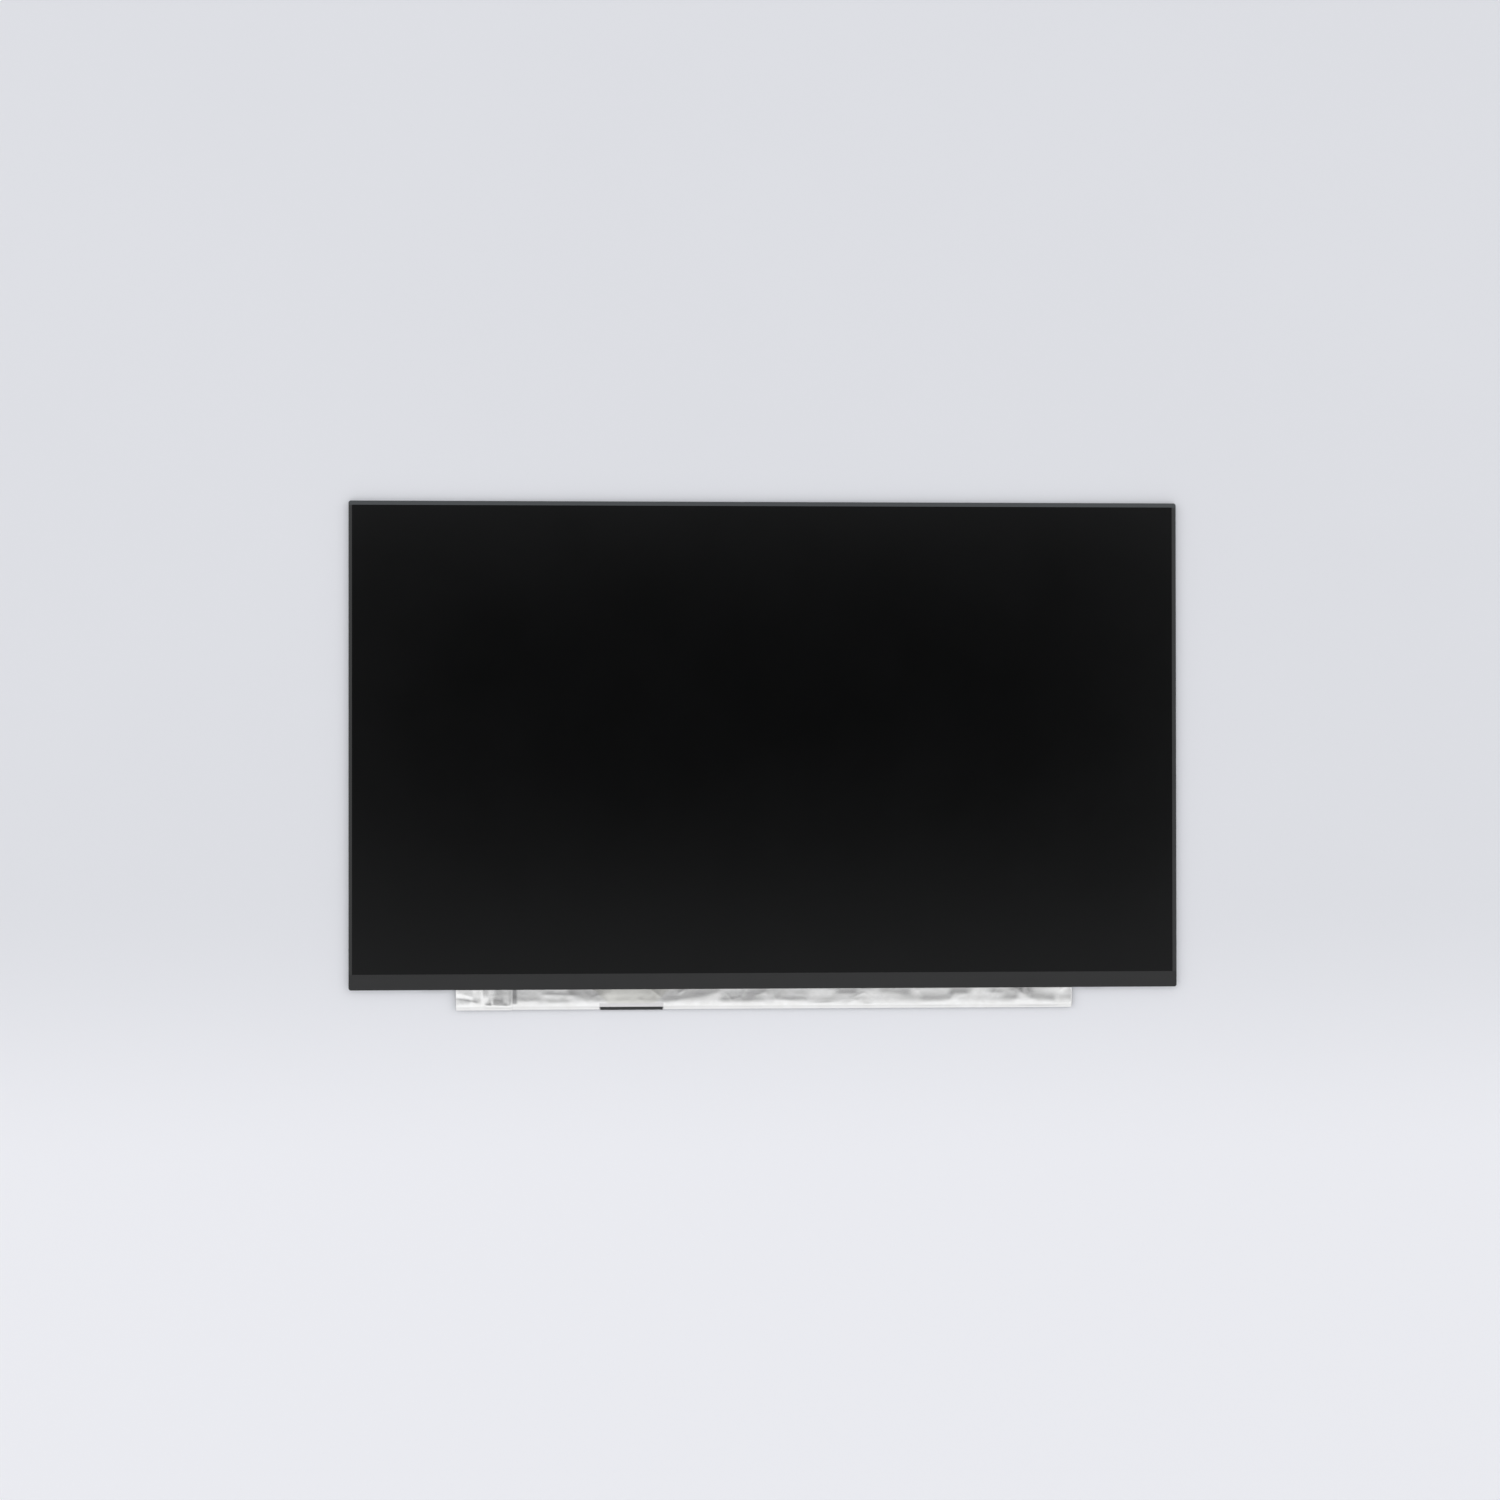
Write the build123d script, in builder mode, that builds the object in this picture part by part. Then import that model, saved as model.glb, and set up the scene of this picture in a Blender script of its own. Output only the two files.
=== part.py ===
"""Narrow-border liquid-crystal display module for a 15.6 inch laptop lid, lying on its back.

The module is a stack: an aluminium back plate, an edge-lit backlight in a moulded frame, the glass
cell with its two polarizers, and black tape round the edge. A control board hangs below the lower
edge on four driver films, with a cable receptacle on its back and shielding foil over its front.

Frame: the origin is the centre of the panel's outline on its back face. +X is to the right and +Y
towards the top of the picture, seen from the front, and +Z points out of the screen.
"""

import os

from build123d import *

# Outline, seen from the front
panel_width = 350.7
panel_height = 206.0
corner_radius = 1.0

# Layers, from the back to the front
plate_thickness = 0.20
reflector_thickness = 0.12
light_guide_thickness = 0.60
diffuser_thickness = 0.10
lower_prism_thickness = 0.12
upper_prism_thickness = 0.12
film_headroom = 0.14
rim_tape_thickness = 0.06
rear_polarizer_thickness = 0.12
array_glass_thickness = 0.40
colour_glass_thickness = 0.40
front_polarizer_thickness = 0.14
edge_tape_thickness = 0.08

# Edge of the panel, from the outside in
edge_lap = 1.75
left_lap = 1.45
driver_tape_lap = 6.6
tape_foot = 0.40
frame_wall = 0.55
shelf_width = 1.3
polarizer_margin = 0.3
rim_overlap = 0.5
driver_ledge = 3.2
glass_corner = 0.8

# Fits
frame_fit = 0.05
glass_clearance = 0.20
stack_clearance = 0.15
wall_drop = 0.05
film_clearance = 0.04

# Back plate
bend_radius = 0.15
corner_relief = 2.0

# Snap hooks of the frame, and their windows in the plate's flanges
hook_length = 8.0
hook_height = 0.45
hook_taper = 25
hook_flush = 0.04
window_clearance = 0.15
hook_count_across = 5
hook_count_down = 3

# Locating tabs on the films and the light guide
tab_width = 6.0
tab_depth = 0.9
tab_count = 3

# Light bar
led_count = 48
led_width = 3.0
led_depth = 0.85
led_height_margin = 0.05
led_gap = 0.10
led_rim = 0.12
phosphor_depth = 0.2
light_bar_depth = 4.0
light_bar_thickness = 0.12
tail_width = 12.0
tail_x = 96.0
tail_land = 2.2

# Control board
board_length = 260.2
board_height = 7.0
board_thickness = 0.6
board_gap = 1.5
board_corner = 0.5
notch_depth = 0.7
notch_clearance = 0.35

# Driver films and their chips
driver_film_count = 4
driver_film_width = 42.0
driver_film_thickness = 0.08
driver_film_bond = 2.2
driver_film_fall = 1.4
driver_film_land = 3.6
driver_film_bend = 0.6
driver_film_corner = 1.2
driver_chip_length = 22.0
driver_chip_width = 0.8
driver_chip_thickness = 0.35
driver_chip_gap = 0.15

# Cable receptacle on the back of the board
connector_x = -56.7
contact_count = 40
contact_pitch = 0.5
contact_width = 0.2
contact_thickness = 0.1
contact_margin = 3.4
contact_setback = 0.5
contact_tail = 0.7
connector_depth = 4.0
connector_overhang = 0.35
connector_height = 0.98
housing_floor = 0.30
housing_wall = 1.2
shell_thickness = 0.12
shell_foot = 1.4
shell_window_count = 9
shell_window_length = 1.3
shell_window_width = 1.4
tongue_gap = 0.3
mouth_lead = 0.15
slot_fit = 0.02

# Shielding foil
foil_thickness = 0.06
foil_side = 0.4
foil_clearance = 0.04
foil_bend = 0.12
foil_fall = 0.18
foil_shoulder = 2.6
foil_shoulder_radius = 6.0
foil_return = 1.0
foil_patch_length = 23.7
foil_patch_slack = 0.1
foil_notch_margin = 0.25

# Chips and passive components on the back of the board: place along X, length, width and height
timing_controller = (8.0, 4.4, 4.4, 0.85)
power_chip = (-24.0, 4.0, 4.0, 0.75)
backlight_chip = (62.0, 3.0, 3.0, 0.75)
memory_chip = (18.0, 3.0, 2.0, 0.60)
chip_edge = 0.08
inductor_places = (-32.0, 70.0)
inductor_size = 3.2
inductor_height = 0.90
inductor_corner = 0.5
diode_places = (-37.5, 75.5)
diode_length = 1.8
diode_width = 1.2
diode_height = 0.65
passive_length = 1.0
passive_width = 0.5
capacitor_height = 0.5
resistor_height = 0.35
terminal_length = 0.22
passive_row_pitch = 1.1
passive_column_pitch = 1.7
capacitor_blocks = (-90.0, -16.0, 1.0, 14.5, 66.0, 84.0)
resistor_blocks = (-80.0, -28.0, 22.5, 57.0)
capacitor_row_count = 4
resistor_row_count = 3
passive_column_count = 2

# Levels of the stack
reflector_level = plate_thickness
guide_level = reflector_level + reflector_thickness
diffuser_level = guide_level + light_guide_thickness
lower_prism_level = diffuser_level + diffuser_thickness
upper_prism_level = lower_prism_level + lower_prism_thickness
shelf_level = upper_prism_level + upper_prism_thickness + film_headroom
rear_polarizer_level = shelf_level + rim_tape_thickness
array_level = rear_polarizer_level + rear_polarizer_thickness
colour_level = array_level + array_glass_thickness
front_polarizer_level = colour_level + colour_glass_thickness
front_tape_level = front_polarizer_level + front_polarizer_thickness
panel_thickness = front_tape_level + edge_tape_thickness
flange_top = array_level
wall_top = front_tape_level - wall_drop
light_bar_level = diffuser_level
light_bar_top_level = light_bar_level + light_bar_thickness
led_height = light_guide_thickness - led_height_margin

# Distances in from the outline
flange_inset = edge_tape_thickness
frame_inset = flange_inset + plate_thickness + frame_fit
pocket_inset = frame_inset + frame_wall
glass_inset = pocket_inset + glass_clearance
opening_inset = pocket_inset + shelf_width
stack_inset = opening_inset + stack_clearance

# Lines across the panel, along Y
top_edge = panel_height / 2
bottom_edge = -panel_height / 2
glass_top = top_edge - glass_inset
glass_bottom = bottom_edge + glass_inset
ledge_top = glass_bottom + driver_ledge
stack_top = top_edge - stack_inset
led_back = bottom_edge + pocket_inset + frame_fit
guide_bottom = led_back + led_depth + led_gap
light_bar_top = led_back + light_bar_depth
opening_bottom = light_bar_top + stack_clearance
film_bottom = opening_bottom + stack_clearance
stack_width = panel_width - 2 * stack_inset
glass_width = panel_width - 2 * glass_inset

# Board, connector and foil, along Y and Z
board_upper = bottom_edge - board_gap
board_lower = board_upper - board_height
board_middle = (board_upper + board_lower) / 2
component_line = (board_upper + board_lower + foil_return) / 2
board_back = light_bar_top_level
board_front = board_back + board_thickness
connector_mouth = board_lower - connector_overhang
connector_rear = connector_mouth + connector_depth
housing_length = (contact_count - 1) * contact_pitch + 2 * contact_margin
shell_length = housing_length + 2 * shell_thickness
notch_length = shell_length + 2 * notch_clearance
driver_film_pitch = board_length / driver_film_count
foil_length = board_length + 2 * foil_side


def span(low, high):
    """Middle and length of the stretch from low to high."""
    return (low + high) / 2, high - low


def save(piece, name):
    """Label a finished piece and write it to its own file."""
    piece.label = name
    export_step(piece, f"parts/{name}.step")


def row(count, length):
    """Places of count things spread evenly over a length centred on 0."""
    return [length * ((i + 0.5) / count - 0.5) for i in range(count)]


def save_sheet(name, level, thickness, width, low, high, corner=0):
    """Rectangular layer of the stack, from low to high along Y, with its corners cut off if asked."""
    middle, height = span(low, high)
    with BuildPart() as sheet:
        with BuildSketch(Plane.XY.offset(level)) as outline:
            with Locations((0, middle)):
                Rectangle(width, height)
            if corner:
                chamfer(outline.vertices(), corner)
        extrude(amount=thickness)
    save(sheet.part, name)


def save_film(name, level, thickness):
    """Optical film with its locating tabs along the top edge."""
    middle, height = span(film_bottom, stack_top)
    with BuildPart() as film:
        with BuildSketch(Plane.XY.offset(level)):
            with Locations((0, middle)):
                Rectangle(stack_width, height)
            with Locations(*[(x, stack_top + tab_depth / 2) for x in row(tab_count, stack_width)]):
                Rectangle(tab_width, tab_depth)
        extrude(amount=thickness)
    save(film.part, name)


def hook_planes(inset):
    """Work planes on the four sides of the panel, one for each snap hook, facing outwards."""
    middle = (plate_thickness + shelf_level) / 2
    side = panel_width / 2 - inset
    end = panel_height / 2 - inset
    planes = []
    for x in row(hook_count_across, panel_width):
        for way in (1, -1):
            planes.append(Plane(origin=(x, way * end, middle), x_dir=(1, 0, 0), z_dir=(0, way, 0)))
    for y in row(hook_count_down, panel_height):
        for way in (1, -1):
            planes.append(Plane(origin=(way * side, y, middle), x_dir=(0, 1, 0), z_dir=(way, 0, 0)))
    return planes


def tape_blank():
    """Black tape folded over the whole rim: a lap on the front and a skirt down three sides."""
    skirt_end = bottom_edge + corner_radius
    with BuildPart() as blank:
        with BuildSketch(Plane.XY.offset(tape_foot)):
            RectangleRounded(panel_width, panel_height, corner_radius)
        extrude(amount=panel_thickness - tape_foot)
        fillet(blank.faces().sort_by(Axis.Z)[-1].edges(), 2 * edge_tape_thickness)
        with BuildSketch(Plane.XY.offset(tape_foot)):
            middle, height = span(bottom_edge - corner_radius, top_edge - edge_tape_thickness)
            with Locations((0, middle)):
                inner_radius = corner_radius - edge_tape_thickness
                RectangleRounded(panel_width - 2 * edge_tape_thickness, height, inner_radius)
            middle, height = span(bottom_edge - corner_radius, skirt_end)
            with Locations((0, middle)):
                Rectangle(2 * panel_width, height)
        extrude(amount=front_tape_level - tape_foot, mode=Mode.SUBTRACT)
        with BuildSketch(Plane.XY.offset(tape_foot)):
            centre, width = span(left_lap - panel_width / 2, panel_width / 2 - edge_lap)
            middle, height = span(bottom_edge + driver_tape_lap, top_edge - edge_lap)
            with Locations((centre, middle)):
                Rectangle(width, height)
        extrude(amount=panel_thickness, mode=Mode.SUBTRACT)
    return blank.part


def save_tapes():
    """The rim tape is laid in two pieces: up the sides and over the top, then along the drivers."""
    seam = Plane(origin=(0, bottom_edge + driver_tape_lap, 0), z_dir=(0, 1, 0))
    blank = tape_blank()
    with BuildPart() as edge_tape:
        add(blank)
        split(bisect_by=seam, keep=Keep.TOP)
    save(edge_tape.part, "edge_tape")
    with BuildPart() as driver_tape:
        add(blank)
        split(bisect_by=seam, keep=Keep.BOTTOM)
    save(driver_tape.part, "driver_tape")


def save_back_plate():
    """Aluminium tray: four flanges bent up from the floor, relieved corners and snap windows."""
    width = panel_width - 2 * flange_inset
    height = panel_height - 2 * flange_inset
    with BuildPart() as back_plate:
        with BuildSketch():
            Rectangle(width, height)
        extrude(amount=flange_top)
        fillet(back_plate.faces().sort_by(Axis.Z)[0].edges(), bend_radius + plate_thickness)
        with BuildSketch(Plane.XY.offset(plate_thickness)):
            Rectangle(width - 2 * plate_thickness, height - 2 * plate_thickness)
        extrude(amount=flange_top - plate_thickness, mode=Mode.SUBTRACT)
        floor_face = back_plate.faces().filter_by(Axis.Z).sort_by(SortBy.AREA)[-2:].sort_by(Axis.Z)[-1]
        fillet(floor_face.edges(), bend_radius)
        with BuildSketch():
            with GridLocations(width, height, 2, 2):
                Rectangle(2 * corner_relief, 2 * corner_relief)
        extrude(amount=flange_top, mode=Mode.SUBTRACT)
        with BuildSketch(*hook_planes(flange_inset + plate_thickness)):
            Rectangle(hook_length + 2 * window_clearance, hook_height + 2 * window_clearance)
        extrude(amount=plate_thickness, mode=Mode.SUBTRACT)
        with BuildSketch(Plane.XY.offset(light_bar_level - window_clearance)):
            with Locations((tail_x, -height / 2)):
                Rectangle(tail_width + 2 * window_clearance, 4 * plate_thickness)
        extrude(amount=flange_top, mode=Mode.SUBTRACT)
    save(back_plate.part, "back_plate")


def save_mould_frame():
    """Moulded frame: an L-section ring that holds the backlight inside and the glass on its shelf."""
    rabbet = flange_top + frame_fit
    lower_width = panel_width - 2 * frame_inset
    lower_height = panel_height - 2 * frame_inset
    upper_width = panel_width - 2 * flange_inset
    upper_height = panel_height - 2 * flange_inset
    opening_width = panel_width - 2 * opening_inset
    lower_wall_depth = 2 * pocket_inset
    tab_room = tab_width + 2 * stack_clearance
    with BuildPart() as mould_frame:
        with BuildSketch(Plane.XY.offset(plate_thickness)):
            RectangleRounded(lower_width, lower_height, corner_radius - frame_inset)
        extrude(amount=rabbet - plate_thickness)
        chamfer(mould_frame.faces().sort_by(Axis.Z)[0].edges(), bend_radius)
        with BuildSketch(Plane.XY.offset(rabbet)):
            RectangleRounded(upper_width, upper_height, corner_radius - flange_inset)
        extrude(amount=wall_top - rabbet)
        with BuildSketch(Plane.XY.offset(shelf_level)):
            Rectangle(panel_width - 2 * pocket_inset, panel_height - 2 * pocket_inset)
        extrude(amount=wall_top - shelf_level, mode=Mode.SUBTRACT)
        with BuildSketch(Plane.XY.offset(plate_thickness)):
            middle, height = span(opening_bottom, top_edge - opening_inset)
            with Locations((0, middle)):
                Rectangle(opening_width, height)
            with Locations(*[(x, top_edge - opening_inset) for x in row(tab_count, stack_width)]):
                Rectangle(tab_room, 2 * tab_depth)
            with Locations(*[(way * opening_width / 2, 0) for way in (-1, 1)]):
                Rectangle(2 * tab_depth, tab_room)
        extrude(amount=shelf_level - plate_thickness, mode=Mode.SUBTRACT)
        with BuildSketch(Plane.XY.offset(plate_thickness)):
            middle, height = span(bottom_edge + pocket_inset, opening_bottom)
            with Locations((0, middle)):
                Rectangle(opening_width, height)
            with Locations((tail_x, bottom_edge)):
                Rectangle(tail_width + 2 * stack_clearance, lower_wall_depth)
        extrude(amount=light_bar_top_level + film_clearance - plate_thickness, mode=Mode.SUBTRACT)
        with BuildSketch(Plane.XY.offset(colour_level - film_clearance)):
            with GridLocations(driver_film_pitch, 0, driver_film_count, 1):
                with Locations((0, bottom_edge)):
                    Rectangle(driver_film_width + 2 * stack_clearance, lower_wall_depth)
        extrude(amount=wall_top, mode=Mode.SUBTRACT)
        with BuildSketch(*hook_planes(frame_inset)):
            Rectangle(hook_length, hook_height)
        extrude(amount=frame_fit + plate_thickness - hook_flush, taper=hook_taper)
    save(mould_frame.part, "mould_frame")


def save_light_guide():
    """Light guide plate, with a lug on each side that seats in the frame."""
    middle, height = span(guide_bottom, stack_top)
    with BuildPart() as light_guide:
        with BuildSketch(Plane.XY.offset(guide_level)):
            with Locations((0, middle)):
                Rectangle(stack_width, height)
            with Locations(*[(way * (stack_width + tab_depth) / 2, 0) for way in (-1, 1)]):
                Rectangle(tab_depth, tab_width)
        extrude(amount=light_guide_thickness)
    save(light_guide.part, "light_guide")


def save_light_bar():
    """Flexible strip over the light guide's lower edge, its tail to the board, and its lamps."""
    middle, height = span(led_back, light_bar_top)
    tail_middle, tail_height = span(board_upper - tail_land, led_back)
    with BuildPart() as light_bar:
        with BuildSketch(Plane.XY.offset(light_bar_level)):
            with Locations((0, middle)):
                Rectangle(stack_width, height)
            with Locations((tail_x, tail_middle)):
                Rectangle(tail_width, tail_height)
        extrude(amount=light_bar_thickness)
    save(light_bar.part, "light_bar")

    led_front = led_back + led_depth
    window_width = led_width - 2 * led_rim
    window_height = led_height - 2 * led_rim
    window_middle = light_bar_level - led_height / 2
    lamp_face = Plane(origin=(0, led_front, window_middle), x_dir=(1, 0, 0), z_dir=(0, 1, 0))
    led_pitch = stack_width / led_count
    with BuildPart() as led_bodies:
        with BuildSketch(lamp_face):
            with GridLocations(led_pitch, 0, led_count, 1):
                Rectangle(led_width, led_height)
                Rectangle(window_width, window_height, mode=Mode.SUBTRACT)
        extrude(amount=-phosphor_depth)
        with BuildSketch(lamp_face.offset(-phosphor_depth)):
            with GridLocations(led_pitch, 0, led_count, 1):
                Rectangle(led_width, led_height)
        extrude(amount=phosphor_depth - led_depth)
    save(led_bodies.part, "led_bodies")
    with BuildPart() as led_phosphors:
        with BuildSketch(lamp_face):
            with GridLocations(led_pitch, 0, led_count, 1):
                Rectangle(window_width, window_height)
        extrude(amount=-phosphor_depth)
    save(led_phosphors.part, "led_phosphors")


def save_rim_tape():
    """Double-sided tape on the frame's shelf, which holds the glass and masks stray light."""
    outer_inset = pocket_inset + frame_fit
    with BuildPart() as rim_tape:
        with BuildSketch(Plane.XY.offset(shelf_level)):
            Rectangle(panel_width - 2 * outer_inset, panel_height - 2 * outer_inset)
            middle, height = span(opening_bottom + rim_overlap, top_edge - opening_inset - rim_overlap)
            with Locations((0, middle)):
                Rectangle(panel_width - 2 * (opening_inset + rim_overlap), height, mode=Mode.SUBTRACT)
        extrude(amount=rim_tape_thickness)
    save(rim_tape.part, "rim_tape")


def save_cell():
    """Rear polarizer, array glass with its driver ledge, colour filter glass, front polarizer."""
    film_width = glass_width - 2 * polarizer_margin
    film_top = glass_top - polarizer_margin
    save_sheet(
        "rear_polarizer",
        rear_polarizer_level,
        rear_polarizer_thickness,
        film_width,
        glass_bottom + polarizer_margin,
        film_top,
    )
    save_sheet(
        "array_glass",
        array_level,
        array_glass_thickness,
        glass_width,
        glass_bottom,
        glass_top,
        glass_corner,
    )
    save_sheet(
        "colour_filter_glass",
        colour_level,
        colour_glass_thickness,
        glass_width,
        ledge_top,
        glass_top,
        glass_corner,
    )
    save_sheet(
        "front_polarizer",
        front_polarizer_level,
        front_polarizer_thickness,
        film_width,
        ledge_top + polarizer_margin,
        film_top,
    )


def save_driver_films():
    """Flexible films bonded to the glass ledge and to the board, each with one driver chip."""
    chip_top = bottom_edge - driver_chip_gap
    chip_bottom = chip_top - driver_chip_width
    flat_end = chip_bottom - driver_chip_gap
    land_end = min(board_upper - driver_film_land, flat_end - 1.5 * driver_film_fall)
    for number, x in enumerate(row(driver_film_count, board_length), start=1):
        with BuildPart() as driver_film:
            with BuildSketch(Plane.YZ.offset(x - driver_film_width / 2)):
                with BuildLine():
                    FilletPolyline(
                        (glass_bottom + driver_film_bond, colour_level),
                        (flat_end, colour_level),
                        (flat_end - driver_film_fall, board_front),
                        (land_end, board_front),
                        radius=driver_film_bend,
                    )
                    offset(amount=driver_film_thickness, side=Side.RIGHT)
                make_face()
            extrude(amount=driver_film_width)
            chamfer(driver_film.edges().filter_by(Axis.Z), driver_film_corner)
        save(driver_film.part, f"driver_film_{number}")
    middle, height = span(chip_bottom, chip_top)
    with BuildPart() as driver_chips:
        with BuildSketch(Plane.XY.offset(colour_level)):
            with Locations((0, middle)):
                with GridLocations(driver_film_pitch, 0, driver_film_count, 1):
                    Rectangle(driver_chip_length, height)
        extrude(amount=-driver_chip_thickness)
    save(driver_chips.part, "driver_chips")


def save_board():
    """Control board, notched in its lower edge where the receptacle's mouth looks through."""
    with BuildPart() as control_board:
        with BuildSketch(Plane.XY.offset(board_back)):
            with Locations((0, board_middle)):
                RectangleRounded(board_length, board_height, board_corner)
            with Locations((connector_x, board_lower)):
                Rectangle(notch_length, 2 * notch_depth, mode=Mode.SUBTRACT)
        extrude(amount=board_thickness)
    save(control_board.part, "control_board")


def save_connector():
    """Cable receptacle: insulating housing, steel shell with spring windows, and its contacts."""
    back = Plane(origin=(connector_x, 0, board_back), x_dir=(-1, 0, 0), z_dir=(0, 0, -1))
    cavity = connector_height - shell_thickness
    slot_width = contact_width + 2 * slot_fit
    rear_wall = connector_rear - housing_wall
    span_length = (contact_count - 1) * contact_pitch
    end_block = contact_margin - contact_pitch
    with BuildPart() as housing:
        with BuildSketch(back):
            middle, depth = span(connector_mouth, connector_rear)
            with Locations((0, middle)):
                Rectangle(housing_length, depth)
        extrude(amount=housing_floor)
        with BuildSketch(back.offset(housing_floor)):
            middle, depth = span(rear_wall, connector_rear)
            with Locations((0, middle)):
                Rectangle(housing_length, depth)
            for way in (-1, 1):
                middle, depth = span(connector_mouth, connector_rear)
                with Locations((way * (housing_length - end_block) / 2, middle)):
                    Rectangle(end_block, depth)
        extrude(amount=cavity - housing_floor)
        with BuildSketch(back.offset(housing_floor)):
            with Locations((0, connector_rear - housing_wall / 2)):
                with GridLocations(contact_pitch, 0, contact_count, 1):
                    Rectangle(slot_width, 2 * housing_wall)
        extrude(amount=contact_thickness + slot_fit, mode=Mode.SUBTRACT)
        half_length = housing_length / 2
        mouth_edges = housing.faces().sort_by(Axis.Y)[0].edges()
        lead_edges = mouth_edges.filter_by_position(
            Axis.X, connector_x - half_length, connector_x + half_length, inclusive=(False, False)
        ).filter_by_position(
            Axis.Z, board_back - cavity, board_back - housing_floor, inclusive=(False, True)
        )
        chamfer(lead_edges, mouth_lead)
    save(housing.part, "connector_housing")

    with BuildPart() as contacts:
        for x in row(contact_count, contact_count * contact_pitch):
            with BuildSketch(Plane.YZ.offset(connector_x + x - contact_width / 2)):
                with BuildLine():
                    step = connector_rear + contact_thickness
                    Polyline(
                        (connector_mouth + contact_setback, board_back - housing_floor),
                        (step, board_back - housing_floor),
                        (step, board_back),
                        (step + contact_tail, board_back),
                    )
                    offset(amount=contact_thickness, side=Side.RIGHT, kind=Kind.INTERSECTION)
                make_face()
            extrude(amount=contact_width)
    save(contacts.part, "connector_contacts")

    with BuildPart() as shell:
        with BuildSketch(back.offset(cavity)):
            middle, depth = span(connector_mouth, connector_rear)
            with Locations((0, middle)):
                Rectangle(shell_length, depth)
            with Locations((0, connector_mouth + shell_window_width)):
                with GridLocations(span_length / shell_window_count, 0, shell_window_count, 1):
                    Rectangle(shell_window_length, shell_window_width, mode=Mode.SUBTRACT)
                    with Locations((0, tongue_gap / 2)):
                        Rectangle(shell_window_length - 2 * tongue_gap, shell_window_width - tongue_gap)
        extrude(amount=shell_thickness)
        with BuildSketch(back):
            middle, depth = span(connector_mouth, connector_rear)
            for way in (-1, 1):
                with Locations((way * (shell_length - shell_thickness) / 2, middle)):
                    Rectangle(shell_thickness, depth)
        extrude(amount=cavity)
        with BuildSketch(back):
            middle, depth = span(connector_rear, connector_rear + shell_foot)
            for way in (-1, 1):
                with Locations((way * (shell_length - shell_foot) / 2, middle)):
                    Rectangle(shell_foot, depth)
        extrude(amount=shell_thickness)
        with BuildSketch(back):
            middle, depth = span(connector_rear, connector_rear + shell_thickness)
            for way in (-1, 1):
                with Locations((way * (shell_length - shell_foot) / 2, middle)):
                    Rectangle(shell_foot, depth)
        extrude(amount=connector_height)
    save(shell.part, "connector_shell")


def save_chip(name, place):
    """Moulded chip package on the back of the board, with its outer face's edges bevelled."""
    x, length, width, height = place
    with BuildPart() as chip:
        with BuildSketch(Plane.XY.offset(board_back)):
            with Locations((x, component_line)):
                Rectangle(length, width)
        extrude(amount=-height)
        chamfer(chip.faces().sort_by(Axis.Z)[0].edges(), chip_edge)
    save(chip.part, name)


def save_blocks(name, places, length, width, height, corner):
    """Row of like components on the back of the board, on the line the chips share."""
    with BuildPart() as blocks:
        with BuildSketch(Plane.XY.offset(board_back)) as outlines:
            with Locations(*[(x, component_line) for x in places]):
                Rectangle(length, width)
            chamfer(outlines.vertices(), corner)
        extrude(amount=-height)
    save(blocks.part, name)


def passive_grid(blocks, rows):
    """Centres of the passive components, in blocks of rows and columns along the board."""
    places = []
    for x in blocks:
        for column in row(passive_column_count, passive_column_count * passive_column_pitch):
            for line in row(rows, rows * passive_row_pitch):
                places.append((x + column, component_line + line))
    return places


def save_passives():
    """Chip capacitors and resistors, with the plated ends of both kinds as one node."""
    kinds = (
        ("capacitors", passive_grid(capacitor_blocks, capacitor_row_count), capacitor_height),
        ("resistors", passive_grid(resistor_blocks, resistor_row_count), resistor_height),
    )
    for name, places, height in kinds:
        with BuildPart() as bodies:
            with BuildSketch(Plane.XY.offset(board_back)):
                with Locations(*places):
                    Rectangle(passive_length - 2 * terminal_length, passive_width)
            extrude(amount=-height)
        save(bodies.part, name)
    with BuildPart() as terminals:
        for name, places, height in kinds:
            with BuildSketch(Plane.XY.offset(board_back)):
                with Locations(*places):
                    with GridLocations(passive_length - terminal_length, 0, 2, 1):
                        Rectangle(terminal_length, passive_width)
            extrude(amount=-height)
    save(terminals.part, "chip_terminals")


def foil_section(lift, slack):
    """Points of the foil's inner face across the strip, and its bend radii.

    The foil lies level over the driver films, falls a little to its shoulder, slopes from there to the
    board's lower edge and is folded round it. A second layer is lifted off the first, with a slack fold.
    """
    over_films = colour_level + driver_film_thickness + foil_clearance + lift
    over_board = board_front + foil_clearance + lift
    behind = board_back - foil_clearance - lift
    edge = board_lower - foil_clearance - lift - slack
    points = (
        (bottom_edge, over_films),
        (board_upper, over_films),
        (board_lower + foil_shoulder, over_films - foil_fall),
        (edge, over_board),
        (edge, behind),
        (board_lower + foil_return, behind),
    )
    radii = (foil_shoulder_radius, foil_shoulder_radius, foil_bend + lift, foil_bend + lift)
    return points, radii


def save_foil(name, lift, slack, left, length):
    """Shielding foil folded over the board's front and lower edge, open where the cable plugs in."""
    points, radii = foil_section(lift, slack)
    with BuildPart() as foil:
        with BuildSketch(Plane.YZ.offset(left)):
            with BuildLine():
                FilletPolyline(*points, radius=radii)
                offset(amount=foil_thickness, side=Side.RIGHT)
            make_face()
        extrude(amount=length)
        room = notch_length + 2 * foil_notch_margin
        with BuildSketch(Plane.XY):
            with Locations((connector_x, board_lower)):
                Rectangle(room, 2 * (notch_depth + foil_notch_margin))
        extrude(amount=panel_thickness, mode=Mode.SUBTRACT)
        with BuildSketch(Plane.XY):
            with Locations((connector_x, board_lower)):
                Rectangle(room, 2 * (foil_return + foil_notch_margin))
        extrude(amount=board_back, mode=Mode.SUBTRACT)
    save(foil.part, name)


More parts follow.
